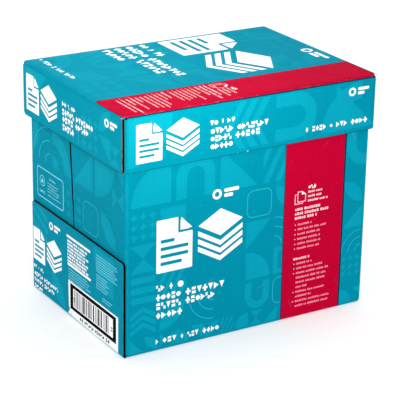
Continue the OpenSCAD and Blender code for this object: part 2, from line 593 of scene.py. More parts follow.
def crushed_corner(soup, blank, corner, r, back):
    """The bit of the lid's top that is bent down round a crushed corner, as a closed strip."""
    su, sv = corner
    n, thick = 8, 1.6
    # from the fold beside the crushed part to the round at the front skirt's end
    verts = []
    for depth in (0.0, thick):
        for y, x0, big, sink in (
            (back - 0.6, blank.fU, R, 0.1),
            (blank.fV + 0.25, blank.L / 2 - r, r, 0.25),
        ):
            rad = big - sink - depth
            verts.append((blank.L / 2 - r - 2.0, y, big - rad))
            for k in range(n + 1):
                t = math.pi / 2 * k / n
                verts.append((x0 + rad * math.sin(t), y, big - rad * math.cos(t)))
            verts.append((x0 + rad, y, r + 0.7))
    m = n + 3
    pts = blank.turn(np.array(verts) * (su, sv, 1.0))
    flat = np.array([(su * (x - 15.0), sv * (y - 15.0), 0.0) for x, y, z in verts])
    outer0, outer1, inner0, inner1 = (list(range(k * m, (k + 1) * m)) for k in range(4))

    def strip(a, b):
        return [(a[k], a[k + 1], b[k + 1], b[k]) for k in range(m - 1)]

    top = [RED] * 4 + [NAVY] + [GROUND] * (m - 6)
    soup.add(pts, strip(outer0, outer1), PRINT, top, flat)
    soup.add(pts, strip(outer1, inner1), PRINT, top, flat)
    soup.add(pts, strip(inner1, inner0) + strip(inner0, outer0), EDGE, 0, flat)
    ends = [(outer0[k], outer1[k], inner1[k], inner0[k]) for k in (0, m - 1)]
    soup.add(pts, ends, EDGE, 0, flat)


def edge_strip(soup, blank, path, groove, closed):
    if closed:
        path = path[:-1]
    n = len(path)
    d = np.roll(path, -1, 0) - path
    if not closed:
        d[-1] = d[-2]
    left = np.stack([-d[:, 1], d[:, 0]], 1)
    left /= np.maximum(np.linalg.norm(left, axis=1), 1e-9)[:, None]
    prev = np.roll(left, 1, 0)
    if not closed:
        prev[0] = left[0]
    m = left + prev
    m /= np.maximum(np.linalg.norm(m, axis=1), 1e-6)[:, None]
    c = np.clip((m * left).sum(1), 0.6, 1.0)
    m /= c[:, None]
    rings = [
        (0.0, 0.0),
        (LINER, 0.0),
        (LINER, groove),
        (T - LINER, groove),
        (T - LINER, 0.0),
        (T, 0.0),
    ]
    pts, flat = [], []
    for depth, g in rings:
        uv = path + m * g
        pts.append(blank.place(uv, depth))
        flat.append(np.column_stack([uv, np.full(n, depth)]))
    pts, flat = np.concatenate(pts), np.concatenate(flat)
    faces, mats = [], []
    for r in range(5):
        for k in range(n if closed else n - 1):
            j = (k + 1) % n
            faces.append((r * n + k, r * n + j, (r + 1) * n + j, (r + 1) * n + k))
            mats.append(EDGE if r in (0, 4) else HOLLOW)
    for which in (EDGE, HOLLOW):
        keep = [f for f, w in zip(faces, mats) if w == which]
        soup.add(pts, keep, which, 0, flat)
    if not closed:
        for k in (0, n - 1):
            soup.add(
                pts[[r * n + k for r in range(6)]],
                [tuple(range(6))],
                EDGE,
                0,
                flat[[r * n + k for r in range(6)]],
            )
    # the wavy medium shows on edges cut across the flutes, which run along U
    k = 0
    while k < n - 1:
        if abs(d[k][0]) > 0.06 * abs(d[k][1]) + 1e-6:
            k += 1
            continue
        j = k
        while j < n - 1 and abs(d[j][0]) <= 0.06 * abs(d[j][1]) + 1e-6 and d[j][1] * d[k][1] > 0:
            j += 1
        a, b = path[k], path[j]
        inward = left[k]
        k = j
        if math.dist(a, b) < 8:
            continue
        wave(soup, blank, a, b, inward, groove)


def wave(soup, blank, a, b, inward, groove):
    length = math.dist(a, b)
    along = (b - a) / length
    n = int(length / (FLUTE / 12))
    s = np.linspace(0.4, length - 0.4, n)
    uv = a + along * s[:, None]
    phase = 2 * math.pi * uv[:, 1] / FLUTE
    amp = T / 2 - LINER - 0.12
    depth = T / 2 + amp * np.sin(phase)
    slope = amp * np.cos(phase) * 2 * math.pi / FLUTE
    nrm = np.stack([-slope, np.ones(n)], 1)
    nrm /= np.linalg.norm(nrm, axis=1)[:, None]
    half = 0.13
    sign = 1.0 if (b - a)[1] > 0 else -1.0
    corners = []
    for side in (-1, 1):
        for g in (0.7, groove + 0.25):
            o = uv + inward * g + along * (nrm[:, :1] * half * side * sign)
            corners.append((o, depth + nrm[:, 1] * half * side))
    pts = np.concatenate([blank.place(o, dd) for o, dd in corners])
    flat = np.concatenate([np.column_stack([o, dd]) for o, dd in corners])
    faces = []
    order = (0, 1, 3, 2)
    for q in range(4):
        r0, r1 = order[q], order[(q + 1) % 4]
        faces += [
            (r0 * n + k, r0 * n + k + 1, r1 * n + k + 1, r1 * n + k)
            for k in range(n - 1)
        ]
    faces.append(tuple(r * n for r in order))
    faces.append(tuple(r * n + n - 1 for r in order[::-1]))
    soup.add(pts, faces, MEDIUM, 0, flat)


def make(name, soup, warp, materials):
    """Welds a soup into one mesh object, bends it a little and gives it its materials."""
    v = np.concatenate(soup.v)
    flat = np.concatenate(soup.flat)
    me = bpy.data.meshes.new(name)
    me.from_pydata((v * MM).tolist(), [], soup.f)
    me.attributes.new("blank", "FLOAT_VECTOR", "POINT").data.foreach_set(
        "vector", flat.astype(np.float32).ravel()
    )
    me.attributes.new("ink_id", "INT", "FACE").data.foreach_set(
        "value", np.array(soup.ink, np.int32)
    )
    me.polygons.foreach_set("material_index", np.array(soup.mat, np.int32))
    bm = bmesh.new()
    bm.from_mesh(me)
    bmesh.ops.remove_doubles(bm, verts=bm.verts, dist=2e-7)
    bmesh.ops.dissolve_degenerate(bm, dist=1e-8, edges=bm.edges)
    bmesh.ops.delete(
        bm, geom=[x for x in bm.verts if not x.link_faces], context="VERTS"
    )
    bmesh.ops.recalc_face_normals(bm, faces=bm.faces)
    open_edges = sum(1 for e in bm.edges if len(e.link_faces) != 2)
    bm.to_mesh(me)
    bm.free()
    co = np.empty(len(me.vertices) * 3, np.float32)
    me.vertices.foreach_get("co", co)
    p = co.reshape(-1, 3).astype(float) / MM
    me.vertices.foreach_set("co", (warp(p) * MM).astype(np.float32).ravel())
    me.update()
    ids = np.empty(len(me.polygons), np.int32)
    me.attributes["ink_id"].data.foreach_get("value", ids)
    starts = np.empty(len(me.polygons), np.int32)
    totals = np.empty(len(me.polygons), np.int32)
    me.polygons.foreach_get("loop_start", starts)
    me.polygons.foreach_get("loop_total", totals)
    table = np.array([INK[k] for k in sorted(INK)], np.float32)
    colours = np.repeat(table[ids], totals, axis=0)
    me.attributes.new("ink", "FLOAT_COLOR", "CORNER").data.foreach_set(
        "color", colours.ravel()
    )
    me.polygons.foreach_set("use_smooth", np.ones(len(me.polygons), bool))
    me.set_sharp_from_angle(angle=math.radians(38))
    for m in materials:
        me.materials.append(m)
    me.update()
    ob = bpy.data.objects.new(name, me)
    bpy.context.scene.collection.objects.link(ob)
    print(
        f"{name}: {len(me.vertices)} verts, {sum(len(p.vertices) - 2 for p in me.polygons)} triangles, {open_edges} open edges"
    )
    return ob


# ------------------------------------------------------------------ the two blanks
BASE_L, BASE_W, SIDE_FOOT = 307.0, 223.0, 0.35
LID_L, LID_W, SKIRT = 320.0 - 2 * T, 230.5, 62.0


def seam(z, top_y, low_y, top_g, low_g):
    """Centre and width of an end seam at height z."""
    t = (z - T) / (RIM + 1 - T)
    return low_y + (top_y - low_y) * t, low_g + (top_g - low_g) * t


def base_flaps():
    out = {}
    for su in (-1, 1):
        shape = (19, -0.5, 5.0, 0.5) if su < 0 else (2, 0, 2.2, 0.5)
        for sv in (-1, 1):
            low, high = 3.0 + SIDE_FOOT, RIM
            pts = []
            for z in (low, high):
                y, g = seam(z, *shape)
                reach = BASE_W / 2 - sv * (y + sv * g / 2)
                pts.append((reach, z))
            out[su, sv] = [(R, low)] + pts + [(R, high)]
    return out


def lid_tabs():
    start = [(R + 1, 4.3), (49, 4.3), (58, 13.3), (58, SKIRT - 10.5)]
    tab = start + [(49, SKIRT - 1.5), (R + 1, SKIRT - 1.5), (R, SKIRT)]
    out = {(su, sv): tab for su in (-1, 1) for sv in (-1, 1)}
    out[1, 1] = start + [(52.5, SKIRT - 5), (R, SKIRT - 5)]
    return out


CORNERS = ((-1, -1), (-1, 1), (1, -1), (1, 1))
base = Blank(
    BASE_L, BASE_W, RIM, 109.0, 4.0, SIDE_FOOT, base_flaps(), False,
    insets={(-1, -1): 0.6, (1, 1): 0.6, (-1, 1): 6.0, (1, -1): 6.0},
    slits=CORNERS,
    relief={},
    rounds={(1, -1): (6.0, BASE_W / 2 - 8.5)},
)
# on the lid sv = 1 is the front
lid = Blank(
    LID_L, LID_W, SKIRT, SKIRT, 5.0, 1.3, lid_tabs(), True,
    insets={c: 6.0 if c == (1, 1) else 0.5 for c in CORNERS},
    slits=((1, 1),),
    relief={(1, 1): 5.0},
    rounds={(1, 1): (5.0, LID_W / 2 - 8.5)},
)

# ------------------------------------------------------------------ printed layout
# Every face is drawn as its viewer sees it: h to the right from the middle, v up.
class Panel:
    def __init__(self, blank, faces, turned=False, flip=1, shift=(0.0, 0.0)):
        self.blank, self.faces, self.turned, self.flip = blank, faces, turned, flip
        self.shift = shift

    def ink(self, colour, *contours):
        for face in self.faces:
            out = []
            for c in contours:
                p = np.asarray(c, float) + self.shift
                h, v = p[:, 0], p[:, 1]
                if face == "floor":  # read from the left end of the carton
                    out.append(np.stack([v, -h], 1))
                elif face.split("_")[0] in ("back", "left"):
                    out.append(np.stack([-h, v], 1))
                else:
                    out.append(np.stack([h, v], 1))
            self.blank.ink(face, colour, *out)


def placed(contours, x, y, s, k=0):
    """Unit-square contours turned k quarter turns and put at (x, y) with side s."""
    out = []
    c, q = (1, 0, -1, 0)[k % 4], (0, 1, 0, -1)[k % 4]
    for p in contours:
        p = np.asarray(p, float) - 0.5
        out.append(
            np.stack(
                [
                    x + s * (0.5 + c * p[:, 0] - q * p[:, 1]),
                    y + s * (0.5 + q * p[:, 0] + c * p[:, 1]),
                ],
                1,
            )
        )
    return out


def uarc(cx, cy, r, a0, a1, n):
    return [
        (
            cx + r * math.cos(math.radians(a0 + (a1 - a0) * k / n)),
            cy + r * math.sin(math.radians(a0 + (a1 - a0) * k / n)),
        )
        for k in range(n + 1)
    ]


def motif(kind):
    """Plain geometric motifs in a unit square."""
    a, b = 0.06, 0.94
    if kind == "Q":  # quarter disc
        return [uarc(a, a, b - a, 0, 90, 14) + [(a, a)]]
    if kind == "R":  # quarter ring round a small quarter disc
        return [
            uarc(a, a, 0.88, 0, 90, 14) + uarc(a, a, 0.55, 90, 0, 10),
            uarc(a, a, 0.30, 0, 90, 8) + [(a, a)],
        ]
    if kind == "A":  # arch
        return [
            [(a, a)]
            + [(a, 0.5)]
            + uarc(0.5, 0.5, 0.44, 180, 0, 16)
            + [(b, a), (0.7, a)]
            + uarc(0.5, 0.5, 0.20, 0, 180, 12)
            + [(0.3, a)]
        ]
    if kind == "T":  # half square
        return [[(a, a), (b, a), (a, b)]]
    if kind == "S":  # slanted stripes
        out = []
        for k in range(-1, 4):
            x0, w = a + k * 0.29, 0.145
            run = []
            for x, y in ((x0, a), (x0 + w, a), (x0 + w + 0.44, b), (x0 + 0.44, b)):
                run.append((min(max(x, a), b), y))
            if run[1][0] - run[0][0] > 0.02 or run[2][0] - run[3][0] > 0.02:
                out.append(clip_x([(x0, a), (x0 + w, a), (x0 + w + 0.44, b), (x0 + 0.44, b)], a, b))
        return [c for c in out if len(c) > 2]
    if kind == "P":  # plus signs
        out = []
        for cx in (0.19, 0.5, 0.81):
            for cy in (0.19, 0.5, 0.81):
                m, n = 0.105, 0.036
                out.append(
                    [
                        (cx - n, cy - m), (cx + n, cy - m), (cx + n, cy - n), (cx + m, cy - n),
                        (cx + m, cy + n), (cx + n, cy + n), (cx + n, cy + m), (cx - n, cy + m),
                        (cx - n, cy + n), (cx - m, cy + n), (cx - m, cy - n), (cx - n, cy - n),
                    ]
                )
        return out
    if kind == "B":  # pills
        return [
            uarc(cx, 0.17, 0.10, 180, 360, 8) + uarc(cx, 0.83, 0.10, 0, 180, 8)
            for cx in (0.18, 0.5, 0.82)
        ]
    if kind == "C":  # chevrons
        return [
            [(a, y), (0.5, y + 0.26), (b, y), (b, y + 0.15), (0.5, y + 0.41), (a, y + 0.15)]
            for y in (0.06, 0.305, 0.55)
        ]
    if kind == "K":  # a frame round a square
        return [
            [(a, a), (b, a), (b, b), (a, b)],
            [(0.22, 0.22), (0.22, 0.78), (0.78, 0.78), (0.78, 0.22)],
            [(0.36, 0.36), (0.64, 0.36), (0.64, 0.64), (0.36, 0.64)],
        ]
    if kind == "L":  # leaf
        return [uarc(a, a, 0.88, 0, 90, 14)[:-1] + uarc(b, b, 0.88, 180, 270, 14)[:-1]]
    if kind == "X":  # hourglass
        return [[(a, a), (b, a), (0.5, 0.5)], [(a, b), (0.5, 0.5), (b, b)]]
    if kind == "O":  # outline of a rounded square
        return [
            rrect(a, a, b, b, 0.2),
            rrect(a + 0.03, a + 0.03, b - 0.03, b - 0.03, 0.17),
        ]
    if kind == "W":  # concentric quarter outlines
        out = []
        for r in (0.28, 0.58, 0.88):
            out.append(uarc(a, a, r, 0, 90, 12) + uarc(a, a, r - 0.028, 90, 0, 12))
        return out
    return []


def clip_x(poly, lo, hi):
    for axis_lo, sgn in ((lo, 1), (hi, -1)):
        out = []
        for k, (x, y) in enumerate(poly):
            px, py = poly[k - 1]
            i0, i1 = sgn * (px - axis_lo) >= 0, sgn * (x - axis_lo) >= 0
            if i0 != i1:
                t = (axis_lo - px) / (x - px)
                out.append((axis_lo, py + t * (y - py)))
            if i1:
                out.append((x, y))
        poly = out
    return poly


def mosaic(panel, x0, y0, pitch, rows, ink=TONE, line=LINE):
    """Rows of two-character cells from the top down: a motif and its quarter turns."""
    for r, row in enumerate(reversed(rows)):
        for c, cell in enumerate(row.split()):
            if cell[0] == ".":
                continue
            colour = line if cell[0] in "OW" else DEEP if cell[0].islower() else ink
            shape = placed(
                motif(cell[0].upper()), x0 + c * pitch, y0 + r * pitch, pitch, int(cell[1])
            )
            panel.ink(colour, *shape)


def bar(panel, x0, y0, x1, y1, ink=WHITE):
    panel.ink(ink, rrect(x0, y0, x1, y1, min(0.35 * (y1 - y0), 1.6)))


def sign(kind, x, y, w, h):
    """One plain geometric sign in a cell."""
    cx, cy = x + w / 2, y + h / 2
    if kind == 0:  # disc
        r = 0.52 * min(w, h)
        return [[(cx + r * math.cos(k * math.pi / 7), cy + r * math.sin(k * math.pi / 7)) for k in range(14)]]
    if kind == 1:  # diamond
        return [[(cx, y), (x + w, cy), (cx, y + h), (x, cy)]]
    if kind == 2:  # two blocks, one over the other
        return [rect(x + 0.1 * w, y, x + 0.9 * w, y + 0.41 * h), rect(x + 0.1 * w, y + 0.59 * h, x + 0.9 * w, y + h)]
    if kind == 3:  # triangle on its tip
        return [[(cx, y), (x + w, y + h), (x, y + h)]]
    if kind == 4:  # wedge
        return [[(x, y), (x + w, cy), (x, y + h)]]
    if kind == 5:  # cross
        a, b = 0.31 * w, 0.34 * h
        return [
            [(x + a, y), (x + w - a, y), (x + w - a, y + b), (x + w, y + b)]
            + [(x + w, y + h - b), (x + w - a, y + h - b), (x + w - a, y + h), (x + a, y + h)]
            + [(x + a, y + h - b), (x, y + h - b), (x, y + b), (x + a, y + b)]
        ]
    # two blocks, corner to corner
    return [rect(x, y + 0.53 * h, x + 0.47 * w, y + h), rect(x + 0.53 * w, y, x + w, y + 0.47 * h)]


def row(panel, x0, x1, y0, y1, words, ink=WHITE, fill=0.78):
    """A line of plain signs: the run split in the given proportions."""
    rnd = random.Random(int(x0 * 7 + y0 * 13 + len(words)))
    gap = 0.60 * (y1 - y0)
    pad = (1 - fill) / 2 * (y1 - y0)
    total = sum(words)
    room = (x1 - x0) - gap * (len(words) - 1)
    h = (y1 - y0) - 2 * pad
    x, last = x0, -1
    for w in words:
        length = room * w / total
        n = max(1, round(length / (0.86 * h)))
        cell = length / n
        for k in range(n):
            kind = rnd.choice([q for q in range(7) if q != last])
            last = kind
            panel.ink(ink, *sign(kind, x + k * cell, y0 + pad, 0.87 * cell, h))
        x += length + gap


def glyph(panel, x0, y0, h, ground=GROUND):
    """A sheet with a turned corner beside a stack of sheets."""
    s = h / 60.0

    def at(pts):
        return [(x0 + s * x, y0 + s * y) for x, y in pts]

    panel.ink(
        WHITE,
        at([(1, 0), (43, 0), (44, 1), (44, 41.5), (25.5, 60), (1, 60), (0, 59), (0, 1)]),
    )
    panel.ink(WHITE, at([(29.8, 59.5), (43.5, 45.8), (29.8, 45.8)]))
    panel.ink(ground, at([(26.2, 60), (26.2, 42.2), (44, 42.2), (44, 45.0), (29.0, 45.0), (29.0, 60)]))
    for y, w in ((33.5, 17), (25.0, 34), (16.5, 34), (8.0, 26)):
        panel.ink(ground, at(rrect(5, y, 5 + w, y + 4.0, 1.2)))
    cx, hw, hh = 79.0, 28.0, 15.5
    top = 60.0 - hh
    panel.ink(WHITE, at([(cx - hw, top), (cx, top - hh), (cx + hw, top), (cx, top + hh)]))
    for y in (top - 11.2, top - 20.2, top - 29.0):
        panel.ink(
            WHITE,
            at(
                [
                    (cx - hw, y + 5.6),
                    (cx - hw, y),
                    (cx, y - hh),
                    (cx + hw, y),
                    (cx + hw, y + 5.6),
                    (cx, y + 5.6 - hh),
                ]
            ),
        )


def small_mark(panel, x0, y0, w, h):
    """A ring and two bars."""
    r = h / 2
    panel.ink(WHITE, disc(x0 + r, y0 + r, r), disc(x0 + r, y0 + r, 0.52 * r))
    bar(panel, x0 + 1.28 * h, y0 + 0.58 * h, x0 + w, y0 + 0.92 * h)
    bar(panel, x0 + 1.28 * h, y0 + 0.08 * h, x0 + 0.78 * w, y0 + 0.42 * h)


def sheet_icon(panel, x0, y0, w, h):
    """Two outlined sheets, one behind the other."""
    t = 0.06 * w
    panel.ink(
        BLUSH,
        rect(x0, y0, x0 + 0.74 * w, y0 + 0.80 * h),
        rect(x0 + t, y0 + t, x0 + 0.74 * w - t, y0 + 0.80 * h - t),
    )
    sheet = [
        (x0 + 0.24 * w, y0 + 0.14 * h), (x0 + w, y0 + 0.14 * h), (x0 + w, y0 + 0.74 * h),
        (x0 + 0.64 * w, y0 + h), (x0 + 0.24 * w, y0 + h),
    ]
    panel.ink(BLUSH, sheet)
    cx, cy = x0 + 0.60 * w, y0 + 0.56 * h
    k = 1 - 2.6 * t / w
    panel.ink(RED, [(cx + k * (x - cx), cy + k * (y - cy)) for x, y in sheet])
    panel.ink(
        WHITE,
        [(x0 + 0.62 * w, y0 + h), (x0 + 0.62 * w, y0 + 0.72 * h), (x0 + w, y0 + 0.72 * h)],
    )


def fine_rows(panel, x0, y_top, pitch, widths, height, bullets=(), seed=0, ink=ROSE):
    """Lines of short dashes, a few to a group."""
    rnd = random.Random(seed)
    for k, w in enumerate(widths):
        y = y_top - k * pitch
        x = x0
        if k in bullets:
            panel.ink(BLUSH, disc(x0 + 1.0, y - height / 2, 0.7))
        if bullets:
            x = x0 + 4.2
        end, left = x0 + w, rnd.randint(3, 8)
        while x < end - 0.5:
            if left == 0:
                x += 0.6 * height
                left = rnd.randint(2, 8)
            n = height * rnd.uniform(0.5, 1.0)
            top = height * rnd.choice((1.0, 1.0, 0.8))
            panel.ink(ink, rect(x, y - height, x + n, y - height + top))
            x += n + 0.22 * height
            left -= 1


def long_face(panel):
    """The front and the back of the base."""
    mosaic(
        panel, -151.0, 165.5, 54.0,
        ["Q1 A0 T0 S0 R3"],
    )
    mosaic(
        panel, -151.0, 21.0, 36.0,
        [
            "P0 Q2 .. .. O0 L0",
            "X0 R1 .. .. T3 W0",
            "B1 S0 .. .. Q0 K0",
            "C0 L1 W2 .. A2 O0",
        ],
    )
    mosaic(panel, 121.0, 165.5, 54.0, ["A2"])
    mosaic(panel, 121.0, 93.0, 30.0, ["L0", "T1"])
    mosaic(panel, 121.0, 33.0, 30.0, ["W1", "P0"])
    # small tiles along the foot
    mosaic(panel, -151.0, 2.5, 19.0, ["T0 L0 X1 Q0 T2 L1 S0 Q1 X0 T1"])
    mosaic(panel, 121.0, 2.5, 19.0, ["Q0 T2"])
    glyph(panel, -117, 90, 60)
    small_mark(panel, -49, 161, 33, 11.5)
    row(panel, -117, -82, 68.5, 77.5, (5, 2, 4))
    row(panel, -117, -31, 57.5, 66.5, (5, 8), fill=0.86)
    row(panel, -117, -43, 47.5, 56.5, (5, 6), fill=0.86)
    row(panel, -117, -84, 36.5, 45.5, (1,), fill=0.86)
    row(panel, -117, -37, 7.0, 15.0, (1, 5, 1, 4, 6))
    # crimson band
    panel.ink(NAVY, rect(42.7, -12, 123.0, 280))
    panel.ink(RED, rect(43.8, -12, 121.0, 280))
    sheet_icon(panel, 57, 136, 14.6, 15)
    row(panel, 74.5, 85, 151, 157, (1,), fill=0.8)
    fine_rows(panel, 74.5, 149.8, 5.2, (18, 17, 24), 2.4, seed=3, ink=BLUSH)
    fine_rows(panel, 58, 131.6, 5.1, (34, 45, 30), 3.0, seed=4, ink=BLUSH)
    fine_rows(panel, 58, 113.2, 5.7, (22, 42, 33, 34, 35, 34), 2.3, bullets=range(6), seed=5)
    fine_rows(panel, 58, 72.6, 5.7, (22,), 2.6, seed=6, ink=BLUSH)
    fine_rows(
        panel, 58, 66.5, 5.7,
        (24, 40, 48, 45, 42, 20, 43, 26, 50, 48), 2.3,
        bullets=(0, 1, 2, 6, 8), seed=7,
    )


def end_upper(panel):
    """The side flaps above the outer flap of an end."""
    mosaic(panel, -110.0, 160.0, 50.0, ["W1 R0 T1 Q3"])
    mosaic(panel, -28.0, 112.0, 40.0, ["P0 O0 L0"])
    mosaic(panel, 80.0, 160.0, 28.0, ["T2", "X1"])
    panel.ink(
        MIST,
        rrect(-97, 118, -32, 154, 4.0),
        rrect(-95.8, 119.2, -33.2, 152.8, 2.9),
    )
    panel.ink(MIST, disc(-84, 138.5, 6.4), disc(-84, 138.5, 5.5))
    panel.ink(MIST, [(-87.8, 136.2), (-84, 142.0), (-80.2, 136.2)])
    row(panel, -91, -77, 123.4, 127.2, (1,), ink=MIST, fill=0.9)
    fine_rows(panel, -66, 146.4, 5.0, (14,), 2.0, seed=31, ink=MIST)
    fine_rows(panel, -71, 140.6, 3.3, (26, 23, 29, 27), 1.2, seed=32, ink=MIST)
    fine_rows(panel, -71, 126.4, 3.3, (31,), 1.2, seed=33, ink=MIST)


def end_flap(panel):
    """An outer end flap."""
    mosaic(panel, -110.0, 62.0, 46.0, ["S1 .. .. .. .."])
    mosaic(panel, -62.0, 2.0, 40.0, ["L0 .. .. T0"])
    mosaic(panel, 40.0, 56.0, 52.0, ["Q2"])
    small_mark(panel, -63, 88, 27, 9.5)
    glyph(panel, -104, 38, 40)
    row(panel, -104, -79, 26.2, 32.0, (4, 1, 4))
    row(panel, -103, -42, 16.6, 22.8, (5, 8), fill=0.86)
    row(panel, -103, -51, 9.0, 15.0, (5, 6), fill=0.86)
    row(panel, -103, -82, 1.6, 7.4, (1,), fill=0.86)
    bar(panel, -20, 94.0, 36, 97.0)
    bar(panel, -18, 61.2, 37, 64.2)
    rnd = random.Random(12)
    y = 91.4
    for w in (46, 42, 49, 44, 50, 45, 52):
        x, end = -18.0, -18.0 + w
        while x < end - 1:
            n = min(rnd.uniform(1.6, 3.0), end - x)
            panel.ink(WHITE, rect(x, y - 2.6, x + n, y))
            x += n + (0.7 if rnd.random() < 0.75 else 2.0)
        y -= 3.95
    fine_rows(panel, -16, 58.0, 3.1, (44, 50, 47, 52, 34), 1.25, seed=21, ink=PALE)
    fine_rows(panel, 50, 98.5, 3.0, (46, 47, 40, 44, 47, 43, 47), 1.15, seed=22, ink=PALE)
    fine_rows(panel, 50, 75.5, 3.0, (26, 24, 28, 22, 27, 25), 1.15, seed=23, ink=PALE)
    fine_rows(panel, 64, 53.0, 3.0, (22, 18), 1.1, seed=24, ink=PALE)
    stripe_block(Panel(panel.blank, panel.faces, shift=(2.5, 0.0)))


def stripe_block(panel):
    """Seeded stripes in a dark frame."""
    panel.ink(
        WHITE,
        [(-19, 43.5), (97, 43.5), (97, 2.0), (72, 2.6), (45, 1.6), (20, 2.6), (2, 2.2), (-20, 3.0), (-15.5, 9.0), (-18, 12)],
    )
    panel.ink(
        BLACK,
        rect(-14.5, 10.5, 92.5, 41.5),
        rect(-7.4, 14.8, 85.4, 37.0),
    )
    rnd = random.Random(77)
    x = -4.5
    while x < 76:
        w = rnd.choice((0.9, 0.9, 1.8, 2.7))
        panel.ink(BLACK, rect(x, 15.9, x + w, 35.9))
        x += w + rnd.choice((0.9, 0.9, 1.8, 1.8, 2.7))
    for x0 in (-6.4, 80.4):
        panel.ink(BLACK, rect(x0, 22.0, x0 + 4.0, 23.3))
        panel.ink(BLACK, rect(x0, 25.0, x0 + 4.0, 26.3))
    row(panel, 8, 78, 4.2, 8.6, (2, 5, 5, 2), ink=BLACK, fill=1.0)


def lid_long(panel):
    """The front and the back skirt of the lid."""
    mosaic(panel, -158.0, 211.0, 60.0, ["Q3 .. C1 A3 R1 ."])
    mosaic(panel, -58.0, 211.0, 30.0, [". . . . . ."])
    mosaic(panel, 100.0, 211.0, 60.0, ["T0"])
    glyph(panel, -144, 218.5, 42)
    row(panel, -56, -25, 245.4, 252.4, (4, 1, 4))
    row(panel, -55, 17, 235.8, 243.6, (5, 7), fill=0.86)
    row(panel, -55, 7, 227.4, 235.2, (5, 6), fill=0.86)
    row(panel, -55, -27, 218.8, 226.6, (1,), fill=0.86)
    small_mark(panel, 120, 252, 27, 9.6)
    row(panel, 65, 147, 218.6, 226.4, (1, 5, 1, 4, 6))


def lid_short(panel):
    """An end panel of the lid."""
    mosaic(panel, -113.0, 211.0, 60.0, ["T3 .. .. .."])
    mosaic(panel, -22.0, 211.0, 44.0, ["W0 P0"])
    mosaic(panel, 62.0, 211.0, 30.0, ["L1", "T2"])
    mosaic(panel, 88.0, 212.0, 24.0, [".", "X0"])
    glyph(panel, -107, 218, 42)
    row(panel, -19, 12, 245.0, 252.0, (4, 1, 4))
    row(panel, -19, 52, 235.6, 243.6, (5, 7), fill=0.86)
    row(panel, -19, 42, 227.4, 235.4, (5, 6), fill=0.86)
    row(panel, -19, 8, 218.4, 226.4, (1,), fill=0.86)
    small_mark(panel, 77, 251, 27, 9.4)


def lid_top(panel):
    """The top of the lid, read from its left end."""
    mosaic(
        panel, -112.0, -158.0, 54.0,
        [
            "T1 P0 L0",
            "S0 .. R2",
            ".. .. ..",
            "B0 Q1 A1",
            "C1 X1 T3",
            "R0 L1 P0",
        ],
        SOFT,
    )
    glyph(panel, -109, 8, 84)
    small_mark(panel, -8, 136.5, 45, 14)
    row(panel, -108, -58, -20.6, -7.6, (4, 1, 4))
    row(panel, -108, 17, -37.6, -24.6, (5, 8), fill=0.84)
    row(panel, -108, 0, -53.0, -40.0, (5, 6), fill=0.84)
    row(panel, -108, -62, -68.4, -55.4, (1,), fill=0.84)
    row(panel, -108, -25, -146.0, -137.4, (1, 5, 1, 4, 6), fill=0.7)
    panel.ink(NAVY, rect(56.6, -160.4, 116.9, 162))
    panel.ink(RED, rect(57.4, -159.5, 115.6, 155.6))
    sheet_icon(panel, 62, -27, 15, 19)
    row(panel, 80, 91, -12, -6, (1,), fill=0.8)
    fine_rows(panel, 80, -13.6, 5.4, (19, 17, 25), 2.2, seed=3, ink=BLUSH)
    fine_rows(panel, 61, -31.2, 5.4, (36, 46, 32), 2.4, seed=4, ink=BLUSH)
    fine_rows(
        panel, 61, -48.9, 5.3, (22, 43, 33, 34, 36, 34), 1.75,
        bullets=range(6), seed=5, ink=BLUSH,
    )
    fine_rows(panel, 61, -83.0, 5.6, (22,), 2.2, seed=6, ink=BLUSH)
    fine_rows(
        panel, 61, -89.3, 5.5,
        (24, 41, 49, 46, 43, 21, 44, 26, 50, 47), 1.75,
        bullets=(0, 1, 2, 6, 8), seed=7, ink=BLUSH,
    )


for face in ("front", "back"):
    long_face(Panel(base, [face]))
    lid_long(Panel(lid, [face]))
for end in ("left", "right"):
    end_upper(Panel(base, [end + "_front", end + "_back"]))
    end_flap(Panel(base, [end]))
    lid_short(Panel(lid, [end]))
lid_top(Panel(lid, ["floor"]))

# ------------------------------------------------------------------ wrapped reams
REAM_L, REAM_W, REAM_H, REAM_R = 298.0, 212.0, 53.0, 1.6
END_R = 1.3  # rounding where the wrapper turns over an end
TUCK, UNDER = -0.55, -0.28  # the side tucks and the lower end flap lie under the upper one


